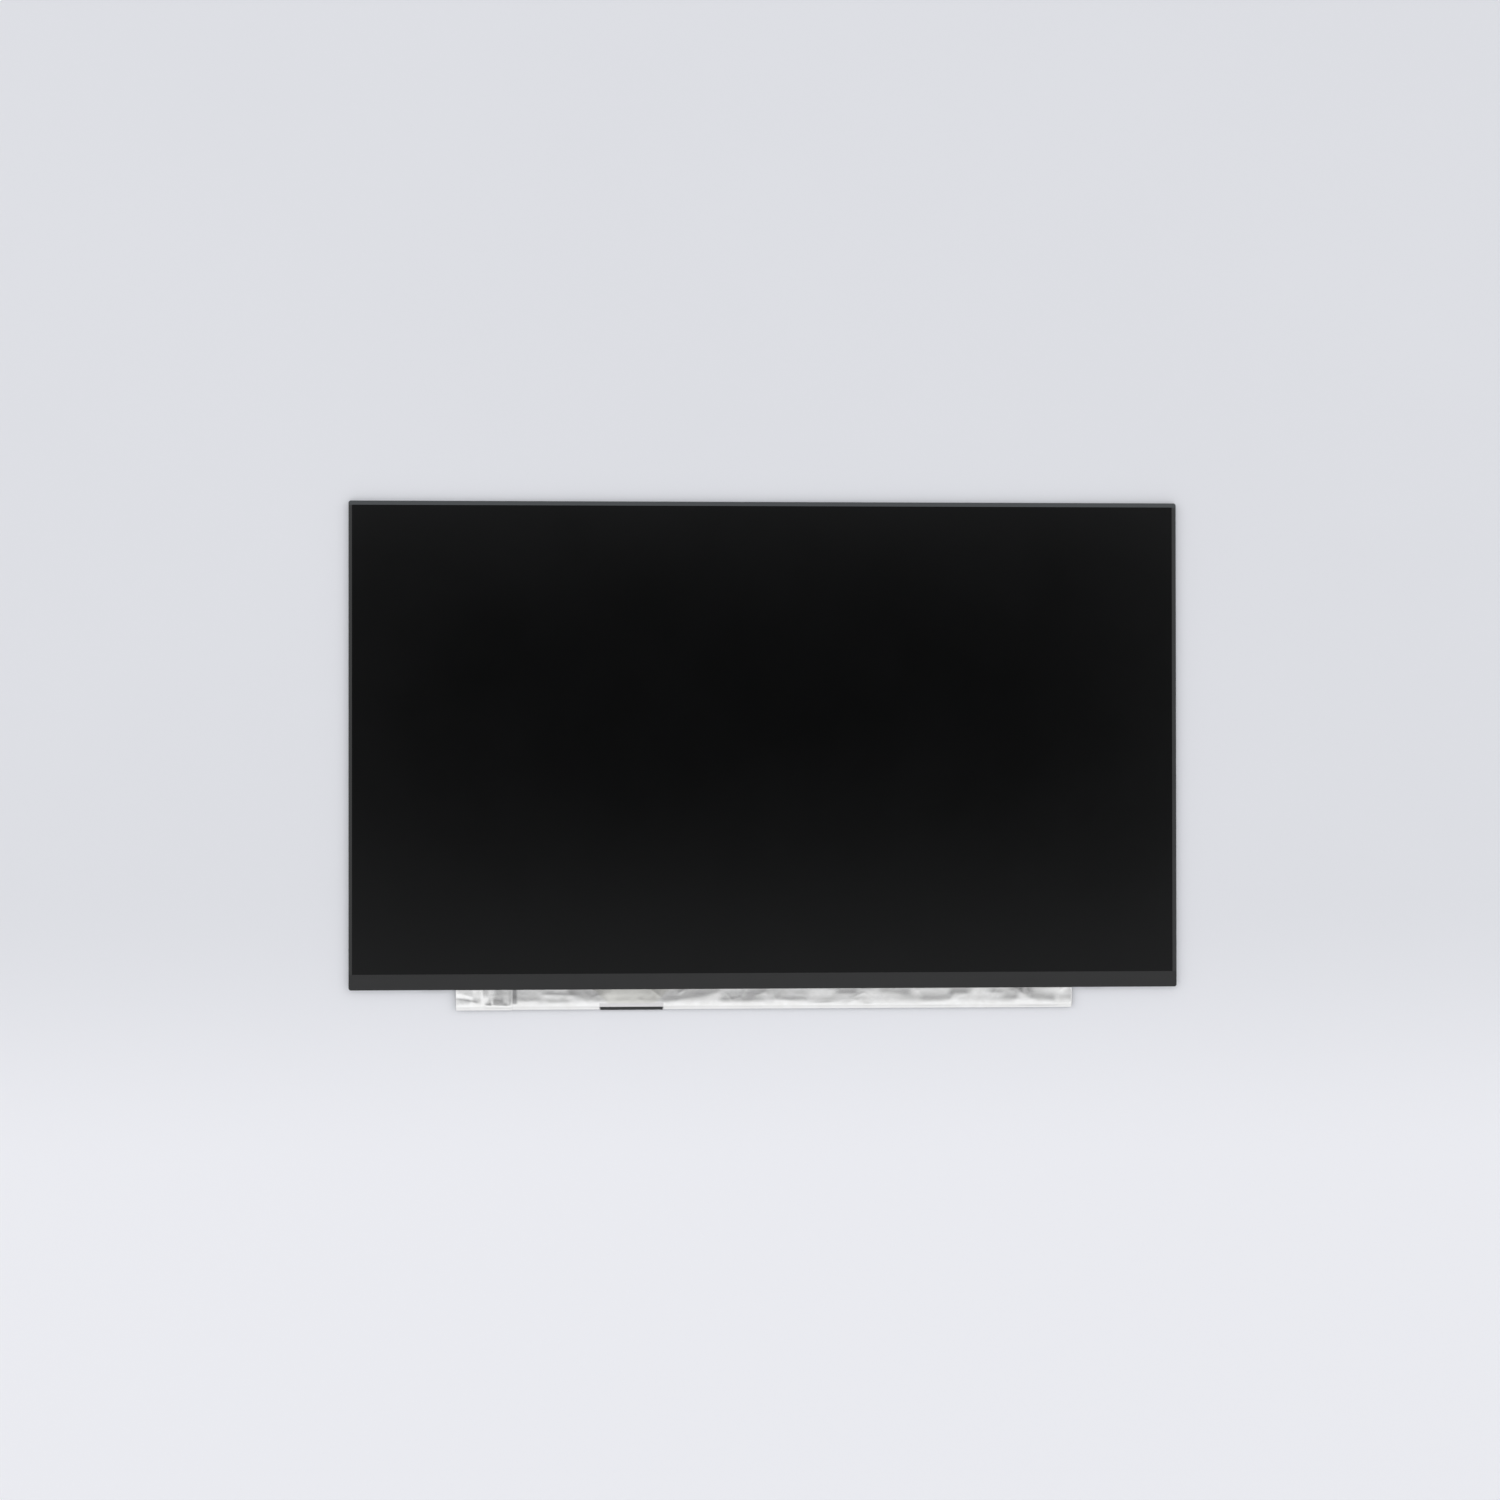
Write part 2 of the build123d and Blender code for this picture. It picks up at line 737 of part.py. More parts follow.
def main():
    """Write every piece of the module to parts/."""
    os.makedirs("parts", exist_ok=True)
    save_back_plate()
    save_mould_frame()
    save_sheet(
        "reflector_sheet", reflector_level, reflector_thickness, stack_width, led_back, stack_top
    )
    save_light_guide()
    save_light_bar()
    save_film("diffuser_film", diffuser_level, diffuser_thickness)
    save_film("lower_prism_film", lower_prism_level, lower_prism_thickness)
    save_film("upper_prism_film", upper_prism_level, upper_prism_thickness)
    save_rim_tape()
    save_cell()
    save_tapes()
    save_driver_films()
    save_board()
    save_connector()
    save_chip("timing_controller", timing_controller)
    save_chip("power_chip", power_chip)
    save_chip("backlight_chip", backlight_chip)
    save_chip("memory_chip", memory_chip)
    save_blocks(
        "inductors", inductor_places, inductor_size, inductor_size, inductor_height, inductor_corner
    )
    save_blocks("diodes", diode_places, diode_length, diode_width, diode_height, chip_edge)
    save_passives()
    foil_left = -foil_length / 2
    second_layer = foil_thickness + foil_clearance
    save_foil("board_foil", 0, 0, foil_left, foil_length)
    save_foil("foil_patch", second_layer, foil_patch_slack, foil_left, foil_patch_length)


main()
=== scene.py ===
"""Looks of a laptop screen panel: matt black face, black edge tape, and crinkled foil over its board.

The panel lies on its back on a pale floor, and the camera looks down on it. Lengths in this script are
millimetres unless a name says otherwise, and become metres where a mesh, lamp or camera is made.
"""

import bpy
import numpy as np
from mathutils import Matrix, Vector


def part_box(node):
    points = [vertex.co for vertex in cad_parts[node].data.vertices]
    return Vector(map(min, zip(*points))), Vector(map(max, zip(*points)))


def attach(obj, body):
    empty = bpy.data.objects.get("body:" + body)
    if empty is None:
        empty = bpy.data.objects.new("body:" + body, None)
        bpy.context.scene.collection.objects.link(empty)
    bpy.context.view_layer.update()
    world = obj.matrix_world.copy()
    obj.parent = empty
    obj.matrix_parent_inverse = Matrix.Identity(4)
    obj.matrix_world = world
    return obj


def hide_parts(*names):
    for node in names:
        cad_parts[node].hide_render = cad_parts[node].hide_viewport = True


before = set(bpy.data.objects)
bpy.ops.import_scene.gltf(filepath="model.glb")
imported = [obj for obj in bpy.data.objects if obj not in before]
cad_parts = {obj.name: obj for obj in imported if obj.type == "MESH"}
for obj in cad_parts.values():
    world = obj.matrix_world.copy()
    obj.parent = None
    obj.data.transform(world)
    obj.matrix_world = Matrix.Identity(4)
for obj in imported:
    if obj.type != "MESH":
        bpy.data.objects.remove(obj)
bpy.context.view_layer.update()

MM = 0.001

# Camera: place, and turn in degrees, that bring the panel's four corners onto the picture's
CAMERA_PLACE = (-39.17, -6.64, 883.6)
CAMERA_TURN = (0.299, -2.123, -0.057)
CAMERA_LENS = 50.0
CAMERA_FILM = 36.0

# Studio dome: its levels at the horizon, higher up and in the ring overhead, and the sines of the heights
# between which each of the last two comes in. Then the dim opening in the ring: each of its edges runs
# from the slope where it starts to brighten to the slope where it is as bright as the dome.
HORIZON_LEVEL = 0.60
DOME_LEVEL = 0.99
DOME_RISE = (0.0, 0.8)
RING_LEVEL = 1.20
RING_RISE = (0.93, 0.965)
OPENING_LEFT = (-0.159, -0.318)
OPENING_RIGHT = (0.25, 0.355)
OPENING_TOP = (0.143, 0.157)
OPENING_BOTTOM = (-0.028, -0.202)
OPENING_HORIZON = 0.05
DOME_COLOUR = (0.97, 0.98, 1.0)

# Lamps, with places and size in metres and power in watts, and the floor, with the Y between which its
# painted light makes it lighter towards the front
SOFTBOX_SIZE_M = (1.0, 1.0)
SOFTBOXES = {"left softbox": ((-1.6, 0.6, 1.3), 3.0), "right softbox": ((1.6, 0.6, 1.3), 2.0)}
FLOOR_REACH_M = 40.0
FLOOR_PAINTED_LIGHT = (-60.0, -180.0)

# Edge tape: the distances from the top edge between which the painted highlight along its top run
# ends, the distances from any edge between which the painted highlight on its margin ends, and the
# share of tone that the margin takes
TOP_HIGHLIGHT = (1.7, 2.1)
EDGE_HIGHLIGHT_MARGIN = (0.10, 0.55)
EDGE_HIGHLIGHT_SHARE = 0.5

# Foil over the board: its section, and the grid that it is worked out on
FOIL_THICKNESS = 0.06
FOIL_BEND = 0.12
FOIL_FALL = 0.18
FOIL_SHOULDER = 2.6
FOIL_SHOULDER_RADIUS = 60.0
FOIL_RETURN = 1.0
FOIL_NOTCH_MARGIN = 0.3
FOIL_SIDE_CLEARANCE = 0.12
NOTCH_DEPTH = 0.7
FOIL_COLUMN = 0.5
PATCH_COLUMN = 0.25
FOIL_ROW = 0.18
BEND_ROWS = 5
ROW_TOLERANCE = 1e-6

# The foil bulges over the board: how high, and how far below the panel's edge the bulge starts, is
# highest and ends
FOIL_BULGE = 0.26
BULGE_PLACES = (0.3, 8.4, 10.2)

# On the patch the bulge is lower at the left: its share there, and the X between which it grows to
# the whole
PATCH_BULGE = 0.65
PATCH_BULGE_GROWS = (-117.0, -109.0)

# Over the cable receptacle the foil is pressed flatter: the distances from the receptacle's middle
# between which that ends, and the share of the bulge that is left. The zone's warm tone is a painted
# reflection with slanting sides: it ends between two sums of that distance and the distance below the
# panel's edge.
PRESSED_REACH = (10.5, 14.5)
PRESSED_BULGE = 0.5
PRESSED_REFLECTION_SLANT = (14.6, 17.4)

# The foil's rise fades out short of the bend round the board's edge, between these lengths before it. At
# the left it comes in over a length, which starts before the patch's end on the foil, and before the
# patch's start on the patch.
BEND_FADE = (0.4, 1.8)
LIFT_LENGTH = 2.0
FOIL_LIFT_BEFORE = 2.5
PATCH_LIFT_BEFORE = 3.0

# Painted shadow of the patch's end: a dark line on the foil just past it. Where it starts and ends, the
# share of tone that it takes, and the heights over the board's lower edge between which it comes in
STEP_SHADOW_STARTS = (-0.3, 0.3)
STEP_SHADOW_ENDS = (1.2, 2.6)
STEP_SHADOW_SHARE = 0.72
STEP_SHADOW_HEIGHT = (2.0, 3.0)

# Painted shade on a greyer strip of foil at the receptacle's mouth: the distances from the receptacle's
# middle, and the heights over the board's lower edge, between which it ends
MOUTH_SHADE_REACH = (13.1, 13.9)
MOUTH_SHADE_HEIGHT = (2.2, 3.0)

# Board's front darkened to near black there: how far past the shell and how high that reaches, and how
# soft its edge is
DARKENED_MARGIN = 0.8
DARKENED_HEIGHT = 1.3
DARKENED_EDGE = 0.1

# Relief: the foil's small dents, the share that its rolling lines add to them, and the board's tracks
DENTS_PER_MM = 0.55
DENT_DEPTH = 0.008
STREAK_SHARE = 0.04
TRACK_HEIGHT = 0.012

# Folds of the foil that show: the points that each runs through, as X and the distance below the panel's
# edge, then how wide its flanks above and below that line are, and how high it stands
FOIL_FOLDS = (
    (((-106.0, 4.8), (-100.0, 5.2), (-96.0, 4.6)), 1.2, 1.0, 0.050),
    (((-94.0, 2.2), (-81.0, 2.8)), 0.8, 1.0, 0.045),
    (((-92.0, 5.8), (-82.0, 5.6)), 0.7, 1.0, 0.040),
    (((-83.5, 2.0), (-77.0, 4.0), (-72.0, 5.4), (-67.0, 6.6)), 1.8, 2.4, 0.095),
    (((-47.0, 7.0), (-44.5, 6.4), (-35.6, 4.8), (-25.0, 3.6), (-19.5, 1.4)), 1.5, 2.5, 0.100),
    (((-19.0, 5.5), (-1.0, 5.9)), 1.3, 1.2, 0.045),
    (((4.5, 4.7), (14.0, 5.4)), 0.8, 0.8, 0.050),
    (((18.0, 0.0), (29.0, 0.0)), 0.5, 2.0, 0.080),
    (((20.0, 6.5), (28.5, 6.1)), 0.5, 0.8, 0.040),
    (((30.0, 2.6), (38.5, 2.4)), 1.2, 1.5, 0.050),
    (((39.0, 0.0), (48.0, 0.0)), 0.5, 2.0, 0.080),
    (((41.0, 6.9), (45.5, 7.1)), 0.6, 0.6, 0.070),
    (((48.5, 1.9), (55.0, 2.8), (61.0, 3.6)), 1.7, 2.8, 0.080),
    (((66.0, 6.2), (70.0, 6.5), (74.0, 6.3), (77.5, 5.6), (80.5, 3.2)), 1.7, 1.9, 0.140),
    (((62.0, 0.0), (78.0, 0.0)), 0.5, 1.4, 0.090),
    (((80.0, 2.4), (87.0, 2.8)), 1.2, 1.5, 0.060),
    (((87.0, 0.0), (95.0, 0.0)), 0.5, 2.5, 0.110),
    (((94.5, 2.2), (100.5, 2.4)), 0.9, 1.2, 0.045),
    (((104.5, 5.2), (108.0, 4.8)), 1.1, 1.0, 0.028),
    (((107.6, 1.4), (109.3, 2.8), (112.7, 5.4), (116.1, 6.6), (124.0, 7.2)), 2.0, 5.0, 0.310),
    (((113.0, 0.0), (128.0, 0.0)), 0.5, 1.3, 0.090),
)
PATCH_FOLDS = (
    (((-131.5, 4.0), (-126.5, 4.7), (-123.7, 5.2), (-121.2, 5.9)), 0.5, 1.6, 0.035),
    (((-118.4, 6.8), (-112.0, 7.1), (-107.2, 7.2)), 0.6, 0.8, 0.145),
    (((-132.0, -0.4), (-122.0, -0.4)), 0.5, 1.5, 0.110),
    (((-122.0, -0.4), (-114.0, -0.4)), 0.5, 1.5, 0.080),
    (((-131.5, 1.3), (-129.0, 1.7), (-126.0, 2.3), (-123.4, 2.9)), 1.6, 0.9, 0.080),
    (((-119.6, 3.1), (-116.9, 3.1)), 2.5, 1.4, 0.120),
    (((-115.2, 6.4), (-113.0, 6.8), (-110.6, 7.0)), 1.5, 0.6, 0.130),
    (((-108.6, 6.4), (-105.0, 6.6)), 2.5, 0.6, 0.080),
    (((-132.0, 7.3), (-124.5, 7.3)), 1.5, 1.0, 0.090),
)

# Lengths over which those folds fade at their ends, the long waves, the limit that the foil's rise stays
# under, and the small crinkles
FOIL_FADE = 2.0
PATCH_FADE = 0.8
FOIL_WAVE_HEIGHT = 0.02
FOIL_WAVE_LENGTHS = (37.0, 23.0, 11.0)
FOIL_WAVE_SLANT = 3.0
FOIL_RISE_LIMIT = 0.5
CRINKLE_SEED = 11
CRINKLE_SPACING = 2.0
CRINKLE_TURN = 1.0
CRINKLE_LENGTHS = (1.5, 6.0)
CRINKLE_WIDTHS = (0.4, 0.9)
CRINKLE_RISES = (0.006, 0.018)
CRINKLE_FADE = 0.8

# Solder on the back of the board: how far a bead reaches past a lead, how much of the lead it climbs, the
# share of a contact's width that half a bead takes, the pads along the chips, and the beads' roundness
BEAD_REACH = 0.16
BEAD_CLIMB = 0.6
TAIL_BEAD_HEIGHT = 0.16
TAIL_BEAD_SHARE = 0.7
PAD_PITCH = 0.45
PAD_WIDTH = 0.22
PAD_HEIGHT = 0.12
PAD_MARGIN = 0.35
BEAD_AROUND = 10
BEAD_RINGS = 6
BEAD_POWER = 0.7

# Corners of a mesh that agree to this many decimals are taken as one
PLACE_DECIMALS = 4


def node_box(name):
    """Lowest and highest corners of a solid, in millimetres."""
    low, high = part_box(name)
    return np.array(low) / MM, np.array(high) / MM


# Shader helpers


def make_group(name, inputs, outputs):
    """Empty shader group with named sockets; returns the group, its input node and its output node."""
    group = bpy.data.node_groups.new(name, "ShaderNodeTree")
    for socket, kind, value in inputs:
        made = group.interface.new_socket(name=socket, in_out="INPUT", socket_type=kind)
        made.default_value = value
    for socket, kind in outputs:
        group.interface.new_socket(name=socket, in_out="OUTPUT", socket_type=kind)
    return group, group.nodes.new("NodeGroupInput"), group.nodes.new("NodeGroupOutput")


def add_node(tree, kind, settings=None, **values):
    """New node in a tree, with its settings and the values of its input sockets."""
    made = tree.nodes.new(kind)
    for key, value in (settings or {}).items():
        setattr(made, key, value)
    for key, value in values.items():
        made.inputs[key.replace("_", " ")].default_value = value
    return made


def join(tree, value, socket):
    """Links a socket to another, or sets it to a plain value."""
    if isinstance(value, bpy.types.NodeSocket):
        tree.links.new(value, socket)
    else:
        socket.default_value = value


def calculate(tree, operation, *operands, clamp=False):
    """Math node whose operands are sockets or plain numbers; returns its output socket."""
    made = add_node(tree, "ShaderNodeMath", {"operation": operation, "use_clamp": clamp})
    for socket, operand in zip(made.inputs, operands):
        join(tree, operand, socket)
    return made.outputs[0]


def ease(tree, value, start, end, low=0.0, high=1.0):
    """Smooth step of a value: low at start, high at end."""
    made = add_node(tree, "ShaderNodeMapRange", {"interpolation_type": "SMOOTHSTEP"})
    for socket, operand in zip(made.inputs, (value, start, end, low, high)):
        join(tree, operand, socket)
    return made.outputs[0]


def ramp(tree, value, start, end):
    """Straight ramp of a value: 0 at start, 1 at end, and level beyond them."""
    made = add_node(tree, "ShaderNodeMapRange", From_Min=start, From_Max=end)
    tree.links.new(value, made.inputs[0])
    return made.outputs[0]


def mix_colours(tree, factor, first, second):
    """Colour that goes from the first to the second as the factor goes from 0 to 1."""
    made = add_node(tree, "ShaderNodeMix", {"data_type": "RGBA"})
    for index, value in ((0, factor), (6, first), (7, second)):
        join(tree, value, made.inputs[index])
    return made.outputs[2]


def grey(level):
    """Neutral colour of one linear level."""
    return (level, level, level, 1.0)


def colour(red, green, blue):
    """Opaque linear colour."""
    return (red, green, blue, 1.0)


def object_place(tree, scale=1.0, stretch=(1.0, 1.0, 1.0)):
    """Object coordinates in millimetres, scaled along each axis, times a number or a socket."""
    place = add_node(tree, "ShaderNodeTexCoord")
    mapping = add_node(tree, "ShaderNodeMapping")
    mapping.inputs["Scale"].default_value = [s / MM for s in stretch]
    times = add_node(tree, "ShaderNodeVectorMath", {"operation": "SCALE"})
    tree.links.new(place.outputs["Object"], mapping.inputs["Vector"])
    tree.links.new(mapping.outputs[0], times.inputs[0])
    join(tree, scale, times.inputs["Scale"])
    return times.outputs[0]


def object_axes(tree):
    """X, Y and Z of the object coordinates, in millimetres, as sockets."""
    split = add_node(tree, "ShaderNodeSeparateXYZ")
    tree.links.new(object_place(tree), split.inputs[0])
    return split.outputs


def spread_mask(tree, value, contrast):
    """A texture's value spread about its middle by a contrast and kept between 0 and 1."""
    spread = calculate(tree, "SUBTRACT", value, 0.5)
    spread = calculate(tree, "MULTIPLY", spread, contrast)
    return calculate(tree, "ADD", spread, 0.5, clamp=True)


def build_mottle():
    """Cloudy mask, 0 to 1, and a colour mixed by it: the uneven tone of films, tapes and mouldings."""
    group, inside, outside = make_group(
        "mottle",
        [
            ("Scale", "NodeSocketFloat", 0.2),
            ("Contrast", "NodeSocketFloat", 1.0),
            ("Dark", "NodeSocketColor", grey(0.1)),
            ("Light", "NodeSocketColor", grey(0.2)),
        ],
        [("Color", "NodeSocketColor"), ("Mask", "NodeSocketFloat")],
    )
    cloud = add_node(group, "ShaderNodeTexNoise", Scale=1.0, Detail=4.0, Roughness=0.6)
    group.links.new(object_place(group, inside.outputs["Scale"]), cloud.inputs["Vector"])
    mask = spread_mask(group, cloud.outputs[0], inside.outputs["Contrast"])
    mixed = mix_colours(group, mask, inside.outputs["Dark"], inside.outputs["Light"])
    group.links.new(mixed, outside.inputs["Color"])
    group.links.new(mask, outside.inputs["Mask"])
    return group


def build_grain():
    """Fine even grain as a height, 0 to 1: moulded or coated surfaces seen close up."""
    group, inside, outside = make_group(
        "fine grain",
        [("Scale", "NodeSocketFloat", 5.0)],
        [("Height", "NodeSocketFloat")],
    )
    place = object_place(group, inside.outputs["Scale"])
    fine = add_node(group, "ShaderNodeTexNoise", Scale=1.0, Detail=2.0, Roughness=0.55)
    cells = add_node(group, "ShaderNodeTexVoronoi", Scale=0.8)
    group.links.new(place, fine.inputs["Vector"])
    group.links.new(place, cells.inputs["Vector"])
    both = calculate(group, "MULTIPLY_ADD", cells.outputs["Distance"], 0.35, fine.outputs[0])
    group.links.new(both, outside.inputs["Height"])
    return group


def build_rolling():
    """Long fine streaks along X as a mask and a height: rolled or brushed sheet metal."""
    group, inside, outside = make_group(
        "rolling lines",
        [("Scale", "NodeSocketFloat", 4.0), ("Contrast", "NodeSocketFloat", 1.0)],
        [("Mask", "NodeSocketFloat"), ("Height", "NodeSocketFloat")],
    )
    place = object_place(group, inside.outputs["Scale"], stretch=(0.02, 1.0, 1.0))
    streak = add_node(group, "ShaderNodeTexNoise", Scale=1.0, Detail=5.0, Roughness=0.7)
    group.links.new(place, streak.inputs["Vector"])
    mask = spread_mask(group, streak.outputs[0], inside.outputs["Contrast"])
    group.links.new(mask, outside.inputs["Mask"])
    group.links.new(streak.outputs[0], outside.inputs["Height"])
    return group


def build_tracks():
    """Printed conductors as a mask: tracks at a pitch along X, which wander where a cloud bends them."""
    group, inside, outside = make_group(
        "tracks",
        [("Pitch", "NodeSocketFloat", 0.5), ("Bend", "NodeSocketFloat", 0.0)],
        [("Mask", "NodeSocketFloat")],
    )
    cloud = add_node(group, "ShaderNodeTexNoise", Scale=0.35, Detail=0.0)
    group.links.new(object_place(group), cloud.inputs["Vector"])
    across = object_axes(group)[0]
    bent = calculate(group, "MULTIPLY_ADD", cloud.outputs[0], inside.outputs["Bend"], across)
    turn = calculate(group, "DIVIDE", bent, inside.outputs["Pitch"])
    wave = calculate(group, "PINGPONG", turn, 0.5)
    group.links.new(ease(group, wave, 0.20, 0.30), outside.inputs["Mask"])
    return group


MOTTLE = build_mottle()
GRAIN = build_grain()
ROLLING = build_rolling()
TRACKS = build_tracks()


def start_material(name, **constants):
    """Material with one Principled shader, its plain values set on the shader's own sockets."""
    material = bpy.data.materials.new(name)
    material.use_nodes = True
    tree = material.node_tree
    shader = tree.nodes["Principled BSDF"]
    for key, value in constants.items():
        shader.inputs[key.replace("_", " ")].default_value = value
    return material, tree, shader


def place_group(tree, group, **values):
    """The group as a node in a material, with this material's own values."""
    made = tree.nodes.new("ShaderNodeGroup")
    made.node_tree = group
    for key, value in values.items():
        made.inputs[key].default_value = value
    return made


def link_range(tree, mask, limits, socket):
    """Feeds a socket with a value that runs between two limits as the mask runs from 0 to 1."""
    ranged = add_node(tree, "ShaderNodeMapRange", To_Min=limits[0], To_Max=limits[1])
    tree.links.new(mask, ranged.inputs[0])
    tree.links.new(ranged.outputs[0], socket)


def link_bump(tree, height, depth, shader):
    """Bump of a real depth in millimetres on the shader's normal."""
    bump = add_node(tree, "ShaderNodeBump", Strength=1.0, Distance=depth * MM)
    tree.links.new(height, bump.inputs["Height"])
    tree.links.new(bump.outputs[0], shader.inputs["Normal"])


# Kinds of finish


def coated(name, dark, light, patch, rough, grain, depth, **constants):
    """Moulded or coated finish: cloudy colour, roughness that follows it, and a fine grain.

    patch and grain are the sizes of the clouds and grains, and depth is the grain's height.
    """
    material, tree, shader = start_material(name, **constants)
    mottle = place_group(tree, MOTTLE, Scale=1.0 / patch, Contrast=1.6, Dark=dark, Light=light)
    grains = place_group(tree, GRAIN, Scale=1.0 / grain)
    tree.links.new(mottle.outputs["Color"], shader.inputs["Base Color"])
    link_range(tree, mottle.outputs["Mask"], rough, shader.inputs["Roughness"])
    link_bump(tree, grains.outputs["Height"], depth, shader)
    return material


def rolled(name, dark, light, rough, lines, depth):
    """Rolled or plated metal: streaks along X in tone, roughness and height."""
    material, tree, shader = start_material(name, Metallic=1.0)
    rolling = place_group(tree, ROLLING, Scale=1.0 / lines, Contrast=1.5)
    tone = mix_colours(tree, rolling.outputs["Mask"], dark, light)
    tree.links.new(tone, shader.inputs["Base Color"])
    link_range(tree, rolling.outputs["Mask"], rough, shader.inputs["Roughness"])
    link_bump(tree, rolling.outputs["Height"], depth, shader)
    return material


def printed(name, dark, light, track, pitch, bend, rough, darkening=None):
    """Printed circuit under its coating: tracks show through as tone and as low ridges.

    darkening, if there is one, makes the mask in the material's tree where the board is darkened to near
    black.
    """
    material, tree, shader = start_material(name)
    tracks = place_group(tree, TRACKS, Pitch=pitch, Bend=bend)
    mottle = place_group(tree, MOTTLE, Scale=0.4, Contrast=1.2, Dark=dark, Light=light)
    tone = mix_colours(tree, tracks.outputs["Mask"], mottle.outputs["Color"], track)
    if darkening:
        # Near-black darkening round the notch, where a mask for it is given
        tone = mix_colours(tree, darkening(tree), tone, grey(0.02))
    tree.links.new(tone, shader.inputs["Base Color"])
    link_range(tree, mottle.outputs["Mask"], rough, shader.inputs["Roughness"])
    link_bump(tree, tracks.outputs["Mask"], TRACK_HEIGHT, shader)
    return material


def ridged(name, dark, light, pitch):
    """Clear film ridged with fine prisms that run along X."""
    material, tree, shader = start_material(name, Transmission_Weight=0.5, IOR=1.55)
    ridge = calculate(tree, "PINGPONG", object_axes(tree)[1], pitch / 2)
    mottle = place_group(tree, MOTTLE, Scale=0.05, Contrast=1.2, Dark=dark, Light=light)
    tree.links.new(mottle.outputs["Color"], shader.inputs["Base Color"])
    link_range(tree, mottle.outputs["Mask"], (0.15, 0.25), shader.inputs["Roughness"])
    link_bump(tree, ridge, 1.0, shader)
    return material


# Finishes of the face, the tapes and the foil


def screen_film():
    """Anti-glare film over an unlit cell: almost black, hazy, with a fine matt grain."""
    return coated(
        "screen film",
        colour(0.0008, 0.0009, 0.0009),
        colour(0.0012, 0.0013, 0.0014),
        patch=45.0,
        rough=(0.16, 0.18),
        grain=0.14,
        depth=0.0002,
        Specular_IOR_Level=0.3,
    )


def edge_tape():
    """Matt black tape, with painted highlights along the top run and on the margin over the panel's edge.
    """
    high = node_box("edge_tape")[1]
    material, tree, shader = start_material("edge tape")
    across, along, _ = object_axes(tree)
    from_side = calculate(tree, "SUBTRACT", high[0], calculate(tree, "ABSOLUTE", across))
    from_top = calculate(tree, "SUBTRACT", high[1], along)
    from_edge = calculate(tree, "MINIMUM", from_side, from_top)
    mottle = place_group(
        tree, MOTTLE, Scale=1.0 / 6.0, Contrast=1.6, Dark=grey(0.016), Light=grey(0.022)
    )
    # Painted highlight: the tape is paler along its top run, where light catches the top edge
    top_highlight = ease(tree, from_top, *TOP_HIGHLIGHT[::-1])
    tone = mix_colours(tree, top_highlight, mottle.outputs["Color"], colour(0.050, 0.055, 0.058))
    # Painted highlight: the tape's margin over the panel's edge is paler, where light catches it
    edge_highlight = ease(tree, from_edge, *EDGE_HIGHLIGHT_MARGIN[::-1], 0.0, EDGE_HIGHLIGHT_SHARE)
    tone = mix_colours(tree, edge_highlight, tone, colour(0.052, 0.056, 0.056))
    tree.links.new(tone, shader.inputs["Base Color"])
    link_range(tree, mottle.outputs["Mask"], (0.50, 0.62), shader.inputs["Roughness"])
    grains = place_group(tree, GRAIN, Scale=1.0 / 0.25)
    link_bump(tree, grains.outputs["Height"], 0.004, shader)
    return material


def driver_tape():
    """The wider band along the lower edge: the same tape, even in tone."""
    return coated(
        "driver tape",
        grey(0.007),
        grey(0.011),
        patch=8.0,
        rough=(0.48, 0.58),
        grain=0.25,
        depth=0.004,
    )


